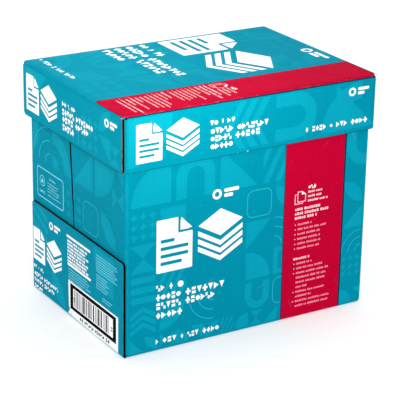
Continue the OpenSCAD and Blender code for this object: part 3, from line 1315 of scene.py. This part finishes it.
class Wrap:
    """The wrapper's girth laid flat: x along the ream, s round its section from the middle of
    the underside by way of +Y, the top and -Y."""

    def __init__(self):
        self.a, self.b = REAM_W / 2 - REAM_R, REAM_H - 2 * REAM_R
        q = math.pi / 2 * REAM_R
        runs = [0, self.a, q, self.b, q, 2 * self.a, q, self.b, q, self.a]
        self.stops = np.cumsum(runs)
        self.girth = float(self.stops[-1])
        self.X = REAM_L / 2 - END_R
        self.items = []

    def ink(self, face, colour, *contours):
        out = []
        for c in contours:
            c = np.asarray(c, float)
            x, y = c[:, 0], c[:, 1]
            if face == "floor":  # the top
                y = self.stops[4] + self.a - y
            elif face == "front":
                y = self.stops[6] + REAM_R + self.b - y
            elif face == "back":
                y = self.stops[2] + y - REAM_R
            out.append(np.stack([x, y], 1))
        self.items.append((colour, out))

    def section(self, s, inset):
        """(y, z) at the arc length s, set in from the surface."""
        s = np.asarray(s, float)
        inset = np.broadcast_to(inset, s.shape)
        seg = np.clip(np.searchsorted(self.stops, s, "right") - 1, 0, 8)
        t = s - self.stops[seg]
        a, b, r = self.a, self.b, REAM_R
        start = np.array(
            [(0, 0), (a, r), (a + r, r), (a, r + b), (a, REAM_H), (-a, r + b), (-a - r, r + b), (-a, r), (-a, 0)]
        )[seg]
        way = np.array([(1, 0), (0, 0), (0, 1), (0, 0), (-1, 0), (0, 0), (0, -1), (0, 0), (1, 0)])[seg]
        turn = np.radians(np.array([-90, -90, 0, 0, 90, 90, 180, 180, 270])[seg])
        bent = seg % 2 == 1
        turn = turn + np.where(bent, t / r, 0.0)
        nrm = np.stack([np.cos(turn), np.sin(turn)], 1)
        flat = start + way * t[:, None] - nrm * inset[:, None]
        return np.where(bent[:, None], start + nrm * (r - inset)[:, None], flat)

    def ring(self):
        """Arc lengths of the points round an end."""
        out = []
        for k in range(9):
            n = 3 if k % 2 else max(2, math.ceil((self.stops[k + 1] - self.stops[k]) / 12))
            out += list(np.linspace(self.stops[k], self.stops[k + 1], n + 1)[:-1])
        return np.array(out)

    def level(self, s):
        """How far the paper is set in from the end's face, round its border."""
        at = [0, *self.stops[1:9], self.girth]
        return np.interp(s, at, [UNDER, UNDER, TUCK, TUCK, 0, 0, TUCK, TUCK, UNDER, UNDER])


def wrap_print(wrap):
    band = Panel(wrap, ["girth"])
    band.ink(GROUND, rect(-160, -2, 88, wrap.girth + 2))
    band.ink(RED, rect(93, -2, 131, wrap.girth + 2))
    top = Panel(wrap, ["floor"])
    mosaic(top, -104.0, -142.0, 42.0, ["T1 .. L0 S0 P0", "K0 .. .. .. A1", "R0 X1 Q2 W0 T3", "S1 A0 .. B0 L1", "Q1 T0 C0 P0 R2"], SOFT)
    glyph(top, -86, 4, 66)
    small_mark(top, 46, 60, 36, 12)
    row(top, -86, -46, -22, -12, (4, 1, 4))
    row(top, -86, 14, -35, -25, (5, 8), fill=0.86)
    row(top, -86, -2, -48, -38, (5, 6), fill=0.86)
    row(top, -86, -18, -130, -123, (1, 5, 1, 4, 6), fill=0.75)
    for face in ("front", "back"):
        side = Panel(wrap, [face])
        glyph(side, -136, 10, 32)
        row(side, -66, -32, 32, 39, (4, 1, 4))
        row(side, -66, 22, 22, 29, (5, 8), fill=0.86)
        row(side, -66, 6, 12, 19, (5, 6), fill=0.86)
        small_mark(side, 46, 30, 27, 9)


def wrap_sheet(wrap):
    """The printed girth as triangles in (x, s), with the ink of each."""
    X, G, ring = wrap.X, wrap.girth, wrap.ring()
    xs = np.linspace(-X, X, 25)
    outline = (
        [(x, 0.0) for x in xs[:-1]]
        + [(X, float(v)) for v in ring]
        + [(x, G) for x in xs[:0:-1]]
        + [(-X, float(v)) for v in [G, *ring[:0:-1]]]
    )
    pts, edges = [], []

    def add(poly, closed=True):
        n0, n = len(pts), len(poly)
        pts.extend((float(x), float(y)) for x, y in poly)
        edges.extend((n0 + k, n0 + (k + 1) % n) for k in range(n if closed else n - 1))

    add(outline)
    for v in ring:
        k = np.searchsorted(wrap.stops, v, "right") - 1
        if v > 0 and (k % 2 or abs(v - wrap.stops[k]) < 1e-6):
            add([(x, v) for x in xs], closed=False)
    for _, cs in wrap.items:
        for c in cs:
            add(c)
    for x in np.arange(-X + 6, X - 5, 11.5):
        for k in (0, 2, 4, 6, 8):
            lo, hi = wrap.stops[k], wrap.stops[k + 1]
            n = max(1, int((hi - lo) / 11.5))
            pts.extend((float(x), float(lo + (j + 0.5) * (hi - lo) / n)) for j in range(n))
    v, f = cdt(pts, edges)
    mid = v[f].mean(1)
    f = f[(np.abs(mid[:, 0]) < X) & (mid[:, 1] > 0) & (mid[:, 1] < G)]
    mid = v[f].mean(1)
    ink = np.full(len(f), WHITE)
    for colour, cs in wrap.items:
        hit = np.zeros(len(f), bool)
        for c in cs:
            hit ^= inside(c, mid)
        ink[hit] = colour
    return v, f, ink


def wrap_end(wrap):
    """One folded end in (y, z): its triangles and how far each vertex is set in."""
    ring = wrap.ring()
    rim = wrap.section(ring, END_R)

    def on_ring(s, hop=0):
        return tuple(rim[int(np.argmin(np.abs(ring - s))) + hop])

    top, low = REAM_H - END_R, END_R
    flaps = []
    for z, d, way, i, j, hop in ((top, 40.0, -1, 4, 5, -1), (low, 37.0, 1, 1, 8, 1)):
        w, inner = wrap.a - d, z + way * d
        p0, p1 = on_ring(wrap.stops[i]), on_ring(wrap.stops[j])
        q0, q1 = on_ring(wrap.stops[i], hop), on_ring(wrap.stops[j], -hop)
        flaps.append(
            (
                [p0, (w, inner), (-w, inner), p1],
                [q0, (w + 0.1, inner + way * 0.14), (-w - 0.1, inner + way * 0.14), q1],
            )
        )
    pts = [tuple(p) for p in rim]
    edges = [(k, (k + 1) % len(pts)) for k in range(len(pts))]
    for pair in flaps:
        for line in pair:
            n0 = len(pts)
            pts += line
            edges += [(n0 + k, n0 + k + 1) for k in range(3)]
    for y in np.arange(-98, 99, 9.8):
        pts += [(float(y), float(z)) for z in np.arange(8, 50, 9.0)]
    v, f = cdt(pts, edges)
    f = f[inside(rim, v[f].mean(1))]
    lift = np.full(len(v), TUCK)
    for (line, _), value, sgn in ((flaps[1], UNDER, 1), (flaps[0], 0.0, -1)):
        (x0, z0), (x1, z1) = line[0], line[1]
        grow = 0.04
        reach = np.abs(v[:, 0]) - grow
        slope = (x0 - x1) / abs(z0 - z1)
        depth = (v[:, 1] - z0) * sgn
        hit = (depth <= abs(z1 - z0) + grow) & (reach <= x0 - np.maximum(depth, 0) * slope)
        lift[hit] = value
    for s_, p in zip(ring, rim):
        near = np.linalg.norm(v - p, axis=1) < 1e-3
        lift[near] = wrap.level(s_)
    return v, f, lift


def ream_soup(wrap, sheet, end, number):
    """One wrapped ream: the girth, its rounded ends and the folds on them."""
    z0, seed = T + REAM_H * (number - 1), 90.0 * number
    soup = Soup()
    v, f, ink = sheet
    k = np.clip(np.searchsorted(wrap.stops, v[:, 1], "right") - 1, 0, 8)
    lo, hi = wrap.stops[k], wrap.stops[k + 1]
    across = np.sin(math.pi * np.clip((v[:, 1] - lo) / (hi - lo), 0, 1)) ** 2
    off = np.minimum(v[:, 1], wrap.girth - v[:, 1])  # from the middle of the underside
    under = np.cos(0.5 * math.pi * np.clip(off / wrap.a, 0, 1)) ** 2
    across = np.where(k % 2 == 1, 0.0, np.where((k == 0) | (k == 8), under, across))
    along = np.clip((wrap.X - np.abs(v[:, 0])) / 30.0, 0, 1)
    ripple = np.sin(0.037 * v[:, 0] + seed) * np.sin(10 * math.pi * v[:, 1] / wrap.girth + seed)
    dip = across * along * (0.26 + 0.14 * ripple)
    yz = wrap.section(v[:, 1], dip)
    p = np.column_stack([v[:, 0], yz[:, 0], yz[:, 1] + z0])
    soup.add(p, f, PRINT, ink, np.column_stack([v, np.full(len(v), seed)]))
    ring = wrap.ring()
    n, level = len(ring), wrap.level(ring)
    ev, ef, lift = end
    for side in (-1, 1):
        colour = GROUND if side < 0 else WHITE
        rows, flat = [], []
        for t in range(4):
            a = math.pi / 6 * t
            yz = wrap.section(ring, END_R * (1 - math.cos(a)))
            x = side * (wrap.X + (END_R + level) * math.sin(a))
            rows.append(np.column_stack([x, yz[:, 0], yz[:, 1] + z0]))
            out = np.full(n, side * (wrap.X + END_R * a))
            flat.append(np.column_stack([out, ring, np.full(n, seed)]))
        quads = [
            (t * n + j, t * n + (j + 1) % n, (t + 1) * n + (j + 1) % n, (t + 1) * n + j)
            for t in range(3)
            for j in range(n)
        ]
        soup.add(np.concatenate(rows), quads, PRINT, colour, np.concatenate(flat))
        x = side * (wrap.X + END_R + lift)
        soup.add(
            np.column_stack([x, ev[:, 0], ev[:, 1] + z0]),
            ef,
            PRINT,
            colour,
            np.column_stack([ev[:, 0], ev[:, 1] + 40 * side, np.full(len(ev), seed + 2000.0)]),
        )
    return soup


# ------------------------------------------------------------------ camera
def look(name, at, yaw, pitch, roll, focal_px):
    cy, sy = math.cos(yaw), math.sin(yaw)
    cp, sp = math.cos(pitch), math.sin(pitch)
    fwd = Vector((sy * cp, cy * cp, sp))
    right = Vector((cy, -sy, 0.0))
    up = right.cross(fwd)
    cr, sr = math.cos(roll), math.sin(roll)
    right, up = right * cr + up * sr, up * cr - right * sr
    cam = bpy.data.cameras.new(name)
    cam.sensor_fit = "HORIZONTAL"
    cam.sensor_width = 36.0
    cam.lens = focal_px / 400 * 36.0
    cam.clip_start, cam.clip_end = 0.05, 50
    ob = bpy.data.objects.new(name, cam)
    m = Matrix.Identity(4)
    for k in range(3):
        m[k][0], m[k][1], m[k][2] = right[k], up[k], -fwd[k]
        m[k][3] = at[k] * MM
    ob.matrix_world = m
    bpy.context.scene.collection.objects.link(ob)
    bpy.context.scene.camera = ob
    return ob


look(
    "camera",
    (-937.3, -1539.4, 802.0),
    math.radians(31.43),
    math.radians(-20.86),
    math.radians(1.03),
    1700,
)


# ------------------------------------------------------------------ materials
class Mat:
    """A node material with short names for the nodes used here."""

    def __init__(self, name):
        self.mat = bpy.data.materials.new(name)
        self.mat.use_nodes = True
        self.t = self.mat.node_tree
        self.t.nodes.clear()
        self.out = self.t.nodes.new("ShaderNodeOutputMaterial")
        self.bsdf = self.t.nodes.new("ShaderNodeBsdfPrincipled")
        self.t.links.new(self.bsdf.outputs[0], self.out.inputs[0])

    def put(self, socket, value):
        if isinstance(value, bpy.types.NodeSocket):
            self.t.links.new(value, socket)
        else:
            socket.default_value = value

    def shade(self, **values):
        for key, value in values.items():
            self.put(self.bsdf.inputs[key.replace("_", " ")], value)

    def attr(self, name, kind="GEOMETRY"):
        n = self.t.nodes.new("ShaderNodeAttribute")
        n.attribute_name = name
        n.attribute_type = kind
        return n

    def m(self, op, a, b=0.0, c=0.0, clamp=False):
        n = self.t.nodes.new("ShaderNodeMath")
        n.operation, n.use_clamp = op, clamp
        for k, v in enumerate((a, b, c)):
            self.put(n.inputs[k], v)
        return n.outputs[0]

    def xyz(self, vec):
        n = self.t.nodes.new("ShaderNodeSeparateXYZ")
        self.put(n.inputs[0], vec)
        return n.outputs

    def vec(self, x, y, z=0.0):
        n = self.t.nodes.new("ShaderNodeCombineXYZ")
        for k, v in enumerate((x, y, z)):
            self.put(n.inputs[k], v)
        return n.outputs[0]

    def vm(self, op, a, b):
        n = self.t.nodes.new("ShaderNodeVectorMath")
        n.operation = op
        self.put(n.inputs[0], a)
        self.put(n.inputs[1], b)
        return n.outputs[0]

    def noise(self, vec, scale=1.0, detail=2.0, rough=0.5, dist=0.0):
        n = self.t.nodes.new("ShaderNodeTexNoise")
        self.put(n.inputs["Vector"], vec)
        n.inputs["Scale"].default_value = scale
        n.inputs["Detail"].default_value = detail
        n.inputs["Roughness"].default_value = rough
        n.inputs["Distortion"].default_value = dist
        return n.outputs["Fac"]

    def ramp(self, x, lo, hi, a=0.0, b=1.0):
        n = self.t.nodes.new("ShaderNodeMapRange")
        n.interpolation_type = "SMOOTHSTEP"
        n.clamp = True
        for k, v in enumerate((x, lo, hi, a, b)):
            self.put(n.inputs[k], v)
        return n.outputs[0]

    def mix(self, fac, a, b, kind="MIX"):
        n = self.t.nodes.new("ShaderNodeMix")
        n.data_type, n.blend_type = "RGBA", kind
        n.clamp_factor = True
        self.put(n.inputs[0], fac)
        self.put(n.inputs[6], a)
        self.put(n.inputs[7], b)
        return n.outputs[2]

    def gain(self, colour, factor):
        """Colour times a number."""
        return self.vm("MULTIPLY", colour, self.vec(factor, factor, factor))

    def bump(self, height_mm, strength=1.0):
        n = self.t.nodes.new("ShaderNodeBump")
        n.inputs["Strength"].default_value = strength
        n.inputs["Distance"].default_value = MM
        self.put(n.inputs["Height"], height_mm)
        return n.outputs[0]


def near_folds(g, blank, U, V):
    """Distance in mm over the sheet to the nearest fold."""
    A = blank.A
    far = 10.0
    d1 = g.m("ABSOLUTE", g.m("SUBTRACT", U, blank.fU + A / 2))
    d1 = g.m("MULTIPLY_ADD", g.m("MAXIMUM", g.m("SUBTRACT", V, blank.fV), 0.0), far, d1)
    d2 = g.m("ABSOLUTE", g.m("SUBTRACT", V, blank.fV + A / 2))
    d2 = g.m("MULTIPLY_ADD", g.m("MAXIMUM", g.m("SUBTRACT", U, blank.fU), 0.0), far, d2)
    d3 = g.m("ABSOLUTE", g.m("SUBTRACT", U, blank.wU + A / 2))
    d3 = g.m(
        "MULTIPLY_ADD", g.m("MAXIMUM", g.m("SUBTRACT", blank.fV + A, V), 0.0), far, d3
    )
    return g.m("MINIMUM", d1, g.m("MINIMUM", d2, d3))


def near_cuts(g, blank, c, U, V):
    """Distance in mm over the sheet to the nearest straight cut edge."""
    A = blank.A
    i = blank.insets
    right, ahead = g.m("GREATER_THAN", c[0], 0.0), g.m("GREATER_THAN", c[1], 0.0)
    inset = g.m("MULTIPLY_ADD", right, i[1, -1] - i[-1, -1], i[-1, -1])
    inset = g.m("MULTIPLY_ADD", ahead, i[-1, 1] - i[-1, -1], inset)
    both = g.m("MULTIPLY", right, ahead)
    inset = g.m("MULTIPLY_ADD", both, i[1, 1] + i[-1, -1] - i[1, -1] - i[-1, 1], inset)
    rim = g.m("SUBTRACT", blank.fV + A + blank.H - R, V)
    end = g.m("SUBTRACT", blank.fU + A + blank.He - R, U)
    end = g.m("MULTIPLY_ADD", g.m("MAXIMUM", g.m("SUBTRACT", V, blank.fV + 4), 0.0), 10.0, end)
    side = g.m("SUBTRACT", g.m("SUBTRACT", blank.W / 2, inset), V)
    side = g.m(
        "MULTIPLY_ADD", g.m("MAXIMUM", g.m("SUBTRACT", blank.fU + A, U), 0.0), 10.0, side
    )
    side = g.m("MAXIMUM", side, g.m("MULTIPLY", side, -10.0))
    end = g.m("ABSOLUTE", end)
    return g.m("MINIMUM", rim, g.m("MINIMUM", end, side))


def printed_material(name, blank, seed, painted_fold_light):
    g = Mat(name)
    ink = g.attr("ink").outputs["Color"]
    flat = g.attr("blank").outputs["Vector"]
    flat = g.vm("ADD", flat, (0.0, 0.0, seed))
    c = g.xyz(flat)
    U, V = g.m("ABSOLUTE", c[0]), g.m("ABSOLUTE", c[1])
    fold, cut = near_folds(g, blank, U, V), near_cuts(g, blank, c, U, V)
    # the flutes show through the liner as a faint washboard
    drift = g.noise(flat, 0.02, 2.0)
    wave_ = g.m("SINE", g.m("MULTIPLY_ADD", c[1], 2 * math.pi / FLUTE, g.m("MULTIPLY", drift, 1.5)))
    patch = g.ramp(g.noise(flat, 0.013, 2.0), 0.35, 0.65)
    washboard = g.m("MULTIPLY", wave_, patch)
    # printing: mottle, clouds of ink and sparse pinholes
    grain = g.noise(flat, 0.55, 3.0, 0.62)
    cloud = g.noise(flat, 0.021, 3.0)
    streak = g.noise(g.vm("MULTIPLY", flat, (0.5, 0.012, 1.0)), 1.0, 2.0)
    tone = g.m("MULTIPLY_ADD", g.m("SUBTRACT", grain, 0.5), 0.16, 1.0)
    tone = g.m("MULTIPLY_ADD", g.m("SUBTRACT", cloud, 0.5), 0.12, tone)
    tone = g.m("MULTIPLY_ADD", g.m("SUBTRACT", streak, 0.5), 0.10, tone)
    tone = g.m("MULTIPLY_ADD", washboard, 0.014, tone)
    colour = g.gain(ink, tone)
    holes = g.ramp(g.noise(g.vm("ADD", flat, (31.0, 7.0, 3.0)), 0.9, 2.0), 0.735, 0.80)
    colour = g.mix(g.m("MULTIPLY", holes, 0.35), colour, lin(205, 214, 214))
    # creases: the board is crushed beside each fold and its print rubbed along it; the colour there also carries
    # painted light, a painted highlight along the base's folds, painted shade along the lid's, and painted shade in
    # the score beside each fold
    rub = g.noise(g.vm("ADD", flat, (5.0, 90.0, 0.0)), 0.16, 4.0, 0.7)
    chip = g.noise(g.vm("ADD", flat, (0.0, 50.0, 9.0)), 1.1, 3.0, 0.6)
    rubbed = g.m(
        "MULTIPLY",
        g.ramp(fold, 2.6, 0.2),
        g.m("MULTIPLY", g.ramp(rub, 0.50, 0.72), g.ramp(chip, 0.42, 0.62)),
    )
    colour = g.mix(g.m("MULTIPLY", rubbed, 0.16), colour, lin(120, 200, 210))
    # painted light along each fold: a painted highlight on the base, painted shade on the lid, where the factor is
    # negative
    colour = g.gain(colour, g.m("MULTIPLY_ADD", g.ramp(fold, 4.2, 1.6), painted_fold_light, 1.0))
    # the score beside each fold: a shallow groove in the relief, and painted shade darkening its colour
    score_groove_and_shade = g.m("MULTIPLY", g.ramp(fold, 1.6, 2.8), g.ramp(fold, 5.0, 3.4))
    colour = g.gain(colour, g.m("MULTIPLY_ADD", score_groove_and_shade, -0.045, 1.0))
    # cut edges: painted shade as a dark hairline along each cut, and a few bare nicks
    nick = g.ramp(g.noise(g.vm("ADD", flat, (70.0, 0.0, 4.0)), 0.30, 3.0, 0.65), 0.66, 0.74)
    colour = g.gain(colour, g.m("MULTIPLY_ADD", g.ramp(cut, 0.9, 0.3), -0.5, 1.0))
    bare = g.m("MULTIPLY", g.ramp(cut, 1.5, 0.5), nick)
    colour = g.mix(g.m("MULTIPLY", bare, 0.8), colour, lin(206, 214, 206))
    # scuffs: long faint scratches in two directions
    scuff = 0.0
    for turn, shift in ((0.5, 0.0), (-1.1, 43.0)):
        ca, sa = math.cos(turn), math.sin(turn)
        x = g.m("MULTIPLY_ADD", c[0], ca, g.m("MULTIPLY", c[1], -sa))
        y = g.m("MULTIPLY_ADD", c[0], sa, g.m("MULTIPLY", c[1], ca))
        line = g.noise(g.vec(g.m("MULTIPLY", x, 0.9), g.m("MULTIPLY", y, 0.02), shift), 1.0, 1.0)
        where = g.noise(g.vm("ADD", flat, (shift, 0.0, 17.0)), 0.018, 1.0)
        mark = g.m("MULTIPLY", g.ramp(line, 0.73, 0.80), g.ramp(where, 0.55, 0.70))
        scuff = g.m("ADD", scuff, mark)
    colour = g.mix(g.m("MULTIPLY", scuff, 0.22), colour, lin(190, 214, 218))
    rough = g.m("MULTIPLY_ADD", g.noise(flat, 0.06, 3.0), 0.25, 0.42)
    rough = g.m("MULTIPLY_ADD", scuff, 0.2, rough)
    # relief
    fibre = g.noise(g.vm("MULTIPLY", flat, (1.6, 0.5, 1.0)), 1.0, 3.0, 0.6)
    height = g.m("MULTIPLY", washboard, 0.016)
    height = g.m("MULTIPLY_ADD", fibre, 0.035, height)
    height = g.m("MULTIPLY_ADD", g.noise(flat, 0.035, 2.0), 0.5, height)
    height = g.m("MULTIPLY_ADD", score_groove_and_shade, -0.10, height)
    height = g.m("MULTIPLY_ADD", rubbed, -0.06, height)
    g.shade(
        Base_Color=colour,
        Roughness=rough,
        IOR=1.05,
        Normal=g.bump(height, 0.8),
    )
    return g.mat


def kraft_material():
    """The plain brown inner liner."""
    g = Mat("kraft_liner")
    flat = g.attr("blank").outputs["Vector"]
    c = g.xyz(flat)
    fibre = g.noise(g.vm("MULTIPLY", flat, (1.5, 0.25, 1.0)), 1.0, 4.0, 0.65)
    speck = g.ramp(g.noise(flat, 1.3, 2.0), 0.68, 0.78)
    cloud = g.noise(flat, 0.02, 3.0)
    wave_ = g.m("SINE", g.m("MULTIPLY", c[1], 2 * math.pi / FLUTE))
    tone = g.m("MULTIPLY_ADD", g.m("SUBTRACT", fibre, 0.5), 0.35, 1.0)
    tone = g.m("MULTIPLY_ADD", g.m("SUBTRACT", cloud, 0.5), 0.2, tone)
    tone = g.m("MULTIPLY_ADD", wave_, 0.05, tone)
    colour = g.gain(g.vm("MULTIPLY", lin(172, 136, 96)[:3], (1.0, 1.0, 1.0)), tone)
    colour = g.mix(g.m("MULTIPLY", speck, 0.5), colour, lin(110, 82, 56))
    height = g.m("MULTIPLY_ADD", fibre, 0.06, g.m("MULTIPLY", wave_, 0.03))
    g.shade(
        Base_Color=colour,
        Roughness=g.m("MULTIPLY_ADD", fibre, 0.15, 0.78),
        Specular_IOR_Level=0.2,
        Normal=g.bump(height, 0.9),
    )
    return g.mat


def edge_material(name, blank, tone):
    """The liners where they are cut: kraft on the long cuts of the end panels; elsewhere, and on the inner liner's
    edge, painted shade in near-black.
    """
    g = Mat(name)
    flat = g.attr("blank").outputs["Vector"]
    c = g.xyz(flat)
    U, V = g.m("ABSOLUTE", c[0]), g.m("ABSOLUTE", c[1])
    n = g.noise(flat, 0.8, 3.0, 0.6)
    kraft_patches = g.ramp(g.noise(flat, 0.12, 2.0), 0.36, 0.52)
    side = 0.0
    for inset in sorted(set(blank.insets.values())):
        off = g.m("ABSOLUTE", g.m("SUBTRACT", V, blank.W / 2 - inset))
        side = g.m("MAXIMUM", side, g.ramp(off, 2.4, 0.8))
    side = g.m("MULTIPLY", side, g.m("GREATER_THAN", U, blank.fU + 0.5))
    # painted shade: near-black stands in for the shade in the cut edges
    dark = g.gain(lin(52, 42, 34)[:3], g.m("MULTIPLY_ADD", n, 0.5, 0.75))
    kraft = g.gain(tone[:3], g.m("MULTIPLY_ADD", n, 0.9, 0.45))
    fac = g.m("MULTIPLY", side, g.m("MULTIPLY_ADD", kraft_patches, 0.7, 0.3))
    outer = g.mix(fac, dark, kraft)
    # the inner liner's cut edge is painted shade as well
    inner = g.gain(lin(36, 29, 24)[:3], g.m("MULTIPLY_ADD", n, 0.5, 0.75))
    colour = g.mix(g.ramp(c[2], T / 2 - 0.1, T / 2 + 0.1), outer, inner)
    g.shade(
        Base_Color=colour,
        Roughness=0.9,
        Specular_IOR_Level=0.1,
        Normal=g.bump(g.m("MULTIPLY", n, 0.12), 0.8),
    )
    return g.mat


def medium_material(name, tone):
    """The fluted paper between the liners, or the hollow round it, in a colour darkened as painted shade."""
    g = Mat(name)
    flat = g.attr("blank").outputs["Vector"]
    n = g.noise(flat, 1.1, 3.0, 0.6)
    colour = g.gain(tone[:3], g.m("MULTIPLY_ADD", n, 0.6, 0.7))
    g.shade(
        Base_Color=colour,
        Roughness=0.95,
        Specular_IOR_Level=0.05,
        Normal=g.bump(g.m("MULTIPLY", n, 0.1), 0.8),
    )
    return g.mat


def wrapper_material():
    """Thin coated paper: soft creases along it, crumples towards its folded ends."""
    g = Mat("ream_wrapper")
    ink = g.attr("ink").outputs["Color"]
    flat = g.attr("blank").outputs["Vector"]
    c = g.xyz(flat)
    folded = g.m("GREATER_THAN", c[2], 1500.0)
    near = g.m("MAXIMUM", folded, g.ramp(g.m("ABSOLUTE", c[0]), 112.0, 148.0))
    grain = g.noise(flat, 0.9, 3.0, 0.6)
    cloud = g.noise(flat, 0.02, 3.0)
    tone = g.m("MULTIPLY_ADD", g.m("SUBTRACT", grain, 0.5), 0.06, 1.0)
    tone = g.m("MULTIPLY_ADD", g.m("SUBTRACT", cloud, 0.5), 0.05, tone)
    crease = g.noise(g.vm("MULTIPLY", flat, (0.012, 0.11, 1.0)), 1.0, 4.0, 0.62, 0.6)
    ridge = g.m("ABSOLUTE", g.m("SUBTRACT", crease, 0.5))
    sharp = g.ramp(ridge, 0.03, 0.0)
    crumple = g.noise(g.vm("MULTIPLY", flat, (0.035, 0.05, 1.0)), 1.0, 4.0, 0.5, 0.8)
    fold = g.ramp(g.m("ABSOLUTE", g.m("SUBTRACT", crumple, 0.5)), 0.035, 0.0)
    rubbed = g.m("MULTIPLY", fold, g.m("MULTIPLY", near, 0.25))
    rubbed = g.m("MAXIMUM", rubbed, g.m("MULTIPLY", sharp, 0.12))
    colour = g.mix(g.m("MULTIPLY", rubbed, 0.4), g.gain(ink, tone), lin(214, 224, 226))
    height = g.m("MULTIPLY_ADD", crease, 0.7, g.m("MULTIPLY", sharp, 0.08))
    height = g.m("MULTIPLY_ADD", g.m("MULTIPLY", crumple, near), 1.1, height)
    height = g.m("MULTIPLY_ADD", g.m("MULTIPLY", fold, near), 0.12, height)
    height = g.m("MULTIPLY_ADD", grain, 0.012, height)
    g.shade(
        Base_Color=colour,
        Roughness=g.m("MULTIPLY_ADD", cloud, 0.25, 0.30),
        IOR=1.3,
        Normal=g.bump(height, 0.7),
    )
    return g.mat


# painted shade: the fluting is a darker brown than the medium's own, and the hollow round it is near-black
kraft, fluting = kraft_material(), medium_material("fluting", lin(74, 56, 42))
hollow = medium_material("hollow", lin(22, 19, 18))
# the last number given to each printed material sets its painted fold light: a painted highlight on the base,
# painted shade on the lid
base_mats = [
    printed_material("printed_base", base, 0.0, 0.12), kraft, edge_material("cut_base", base, lin(112, 90, 70)), fluting, hollow,
]
lid_mats = [
    printed_material("printed_lid", lid, 40.0, -0.06), kraft, edge_material("cut_lid", lid, lin(140, 128, 108)), fluting, hollow,
]


# ------------------------------------------------------------------ pieces
def bow(u, half, k=1):
    """0 at both ends of a run and 1 in the middle, with a slight seeded ripple."""
    t = np.clip((u + half) / (2 * half), 0, 1)
    return np.sin(math.pi * t) ** 2 * (1 + 0.25 * np.sin(2 * math.pi * k * t + 0.7 * k))


def step(x, lo, hi):
    t = np.clip((x - lo) / (hi - lo), 0, 1)
    return t * t * (3 - 2 * t)


def base_warp(p):
    """The walls give inward a little between the folds; the floor panel stays flat."""
    x, y, z = p[:, 0].copy(), p[:, 1].copy(), p[:, 2].copy()
    up = np.sin(math.pi * np.clip(z / RIM, 0, 1)) ** 2
    q = p.copy()
    q[:, 1] -= np.sign(y) * step(np.abs(y), 60, 106) * 0.5 * bow(x, BASE_L / 2, 2) * up
    q[:, 0] -= np.sign(x) * step(np.abs(x), 80, 146) * 0.55 * bow(y, BASE_W / 2, 1) * up
    return q


def lid_warp(p):
    """The skirts bow inward along their lower edges and the top sags a little."""
    x, y, z = p[:, 0].copy(), p[:, 1].copy(), p[:, 2].copy()
    low = 1 - step(z, TOTAL_H - SKIRT, TOTAL_H - 8)
    q = p.copy()
    q[:, 1] -= np.sign(y) * step(np.abs(y), 60, 108) * 0.4 * bow(x, LID_L / 2, 2) * low
    q[:, 0] -= np.sign(x) * step(np.abs(x), 80, 150) * 0.4 * bow(y, LID_W / 2, 1) * low
    q[:, 2] -= 0.6 * bow(x, LID_L / 2, 1) * bow(y, LID_W / 2, 2) * step(z, 262, 268)
    return q


base_ob = make("base_board", board(base), base_warp, base_mats)
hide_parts("carton_base")
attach(base_ob, "base")
lid_ob = make("lid_board", board(lid), lid_warp, lid_mats)
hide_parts("carton_lid")
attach(lid_ob, "lid")

wrap = Wrap()
wrap_print(wrap)
wrap_parts = wrap_sheet(wrap), wrap_end(wrap)
paper_wrap = wrapper_material()
for number in range(1, 6):
    ob = make(f"wrapped_ream_{number}", ream_soup(wrap, *wrap_parts, number), lambda q: q, [paper_wrap])
    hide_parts(f"ream_{number}")
    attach(ob, "base")

# ------------------------------------------------------------------ stage and light
fm = bpy.data.meshes.new("floor")
s = 8.0
fm.from_pydata([(-s, -s, 0), (s, -s, 0), (s, s, 0), (-s, s, 0)], [], [(0, 1, 2, 3)])
floor = bpy.data.objects.new("floor", fm)
bpy.context.scene.collection.objects.link(floor)
paper = Mat("floor_paper")
paper.shade(Base_Color=(0.72, 0.72, 0.72, 1), Roughness=0.95, Specular_IOR_Level=0.1)
paper.shade(Emission_Color=(1, 1, 1, 1), Emission_Strength=0.335)
fm.materials.append(paper.mat)

world = bpy.data.worlds.new("studio")
bpy.context.scene.world = world
world.use_nodes = True
world.node_tree.nodes["Background"].inputs[0].default_value = (1, 1, 1, 1)
world.node_tree.nodes["Background"].inputs[1].default_value = 0.98


def area(name, at, to, size, power, spread=180.0):
    d = bpy.data.lights.new(name, "AREA")
    d.shape, d.size, d.size_y, d.energy = "RECTANGLE", size[0], size[1], power
    d.spread = math.radians(spread)
    o = bpy.data.objects.new(name, d)
    o.location = at
    o.rotation_mode = "QUATERNION"
    o.rotation_quaternion = (Vector(to) - Vector(at)).to_track_quat("-Z", "Y")
    bpy.context.scene.collection.objects.link(o)
    return o


area("key", (-0.75, -1.5, 0.95), (-0.08, 0.0, 0.2), (0.7, 0.7), 5)
area("top", (0.2, 0.3, 2.6), (0, 0, 0.1), (2.4, 2.4), 10)
# a soft pool of light on the corner nearest to the camera
pool = area("pool", (-0.5, -1.45, 0.75), (-0.12, -0.1, 0.40), (0.25, 0.25), 0.56, spread=16.0)
pool.data.color = (1.0, 1.0, 0.80)

bpy.context.scene.view_settings.view_transform = "Standard"
bpy.context.scene.view_settings.look = "None"
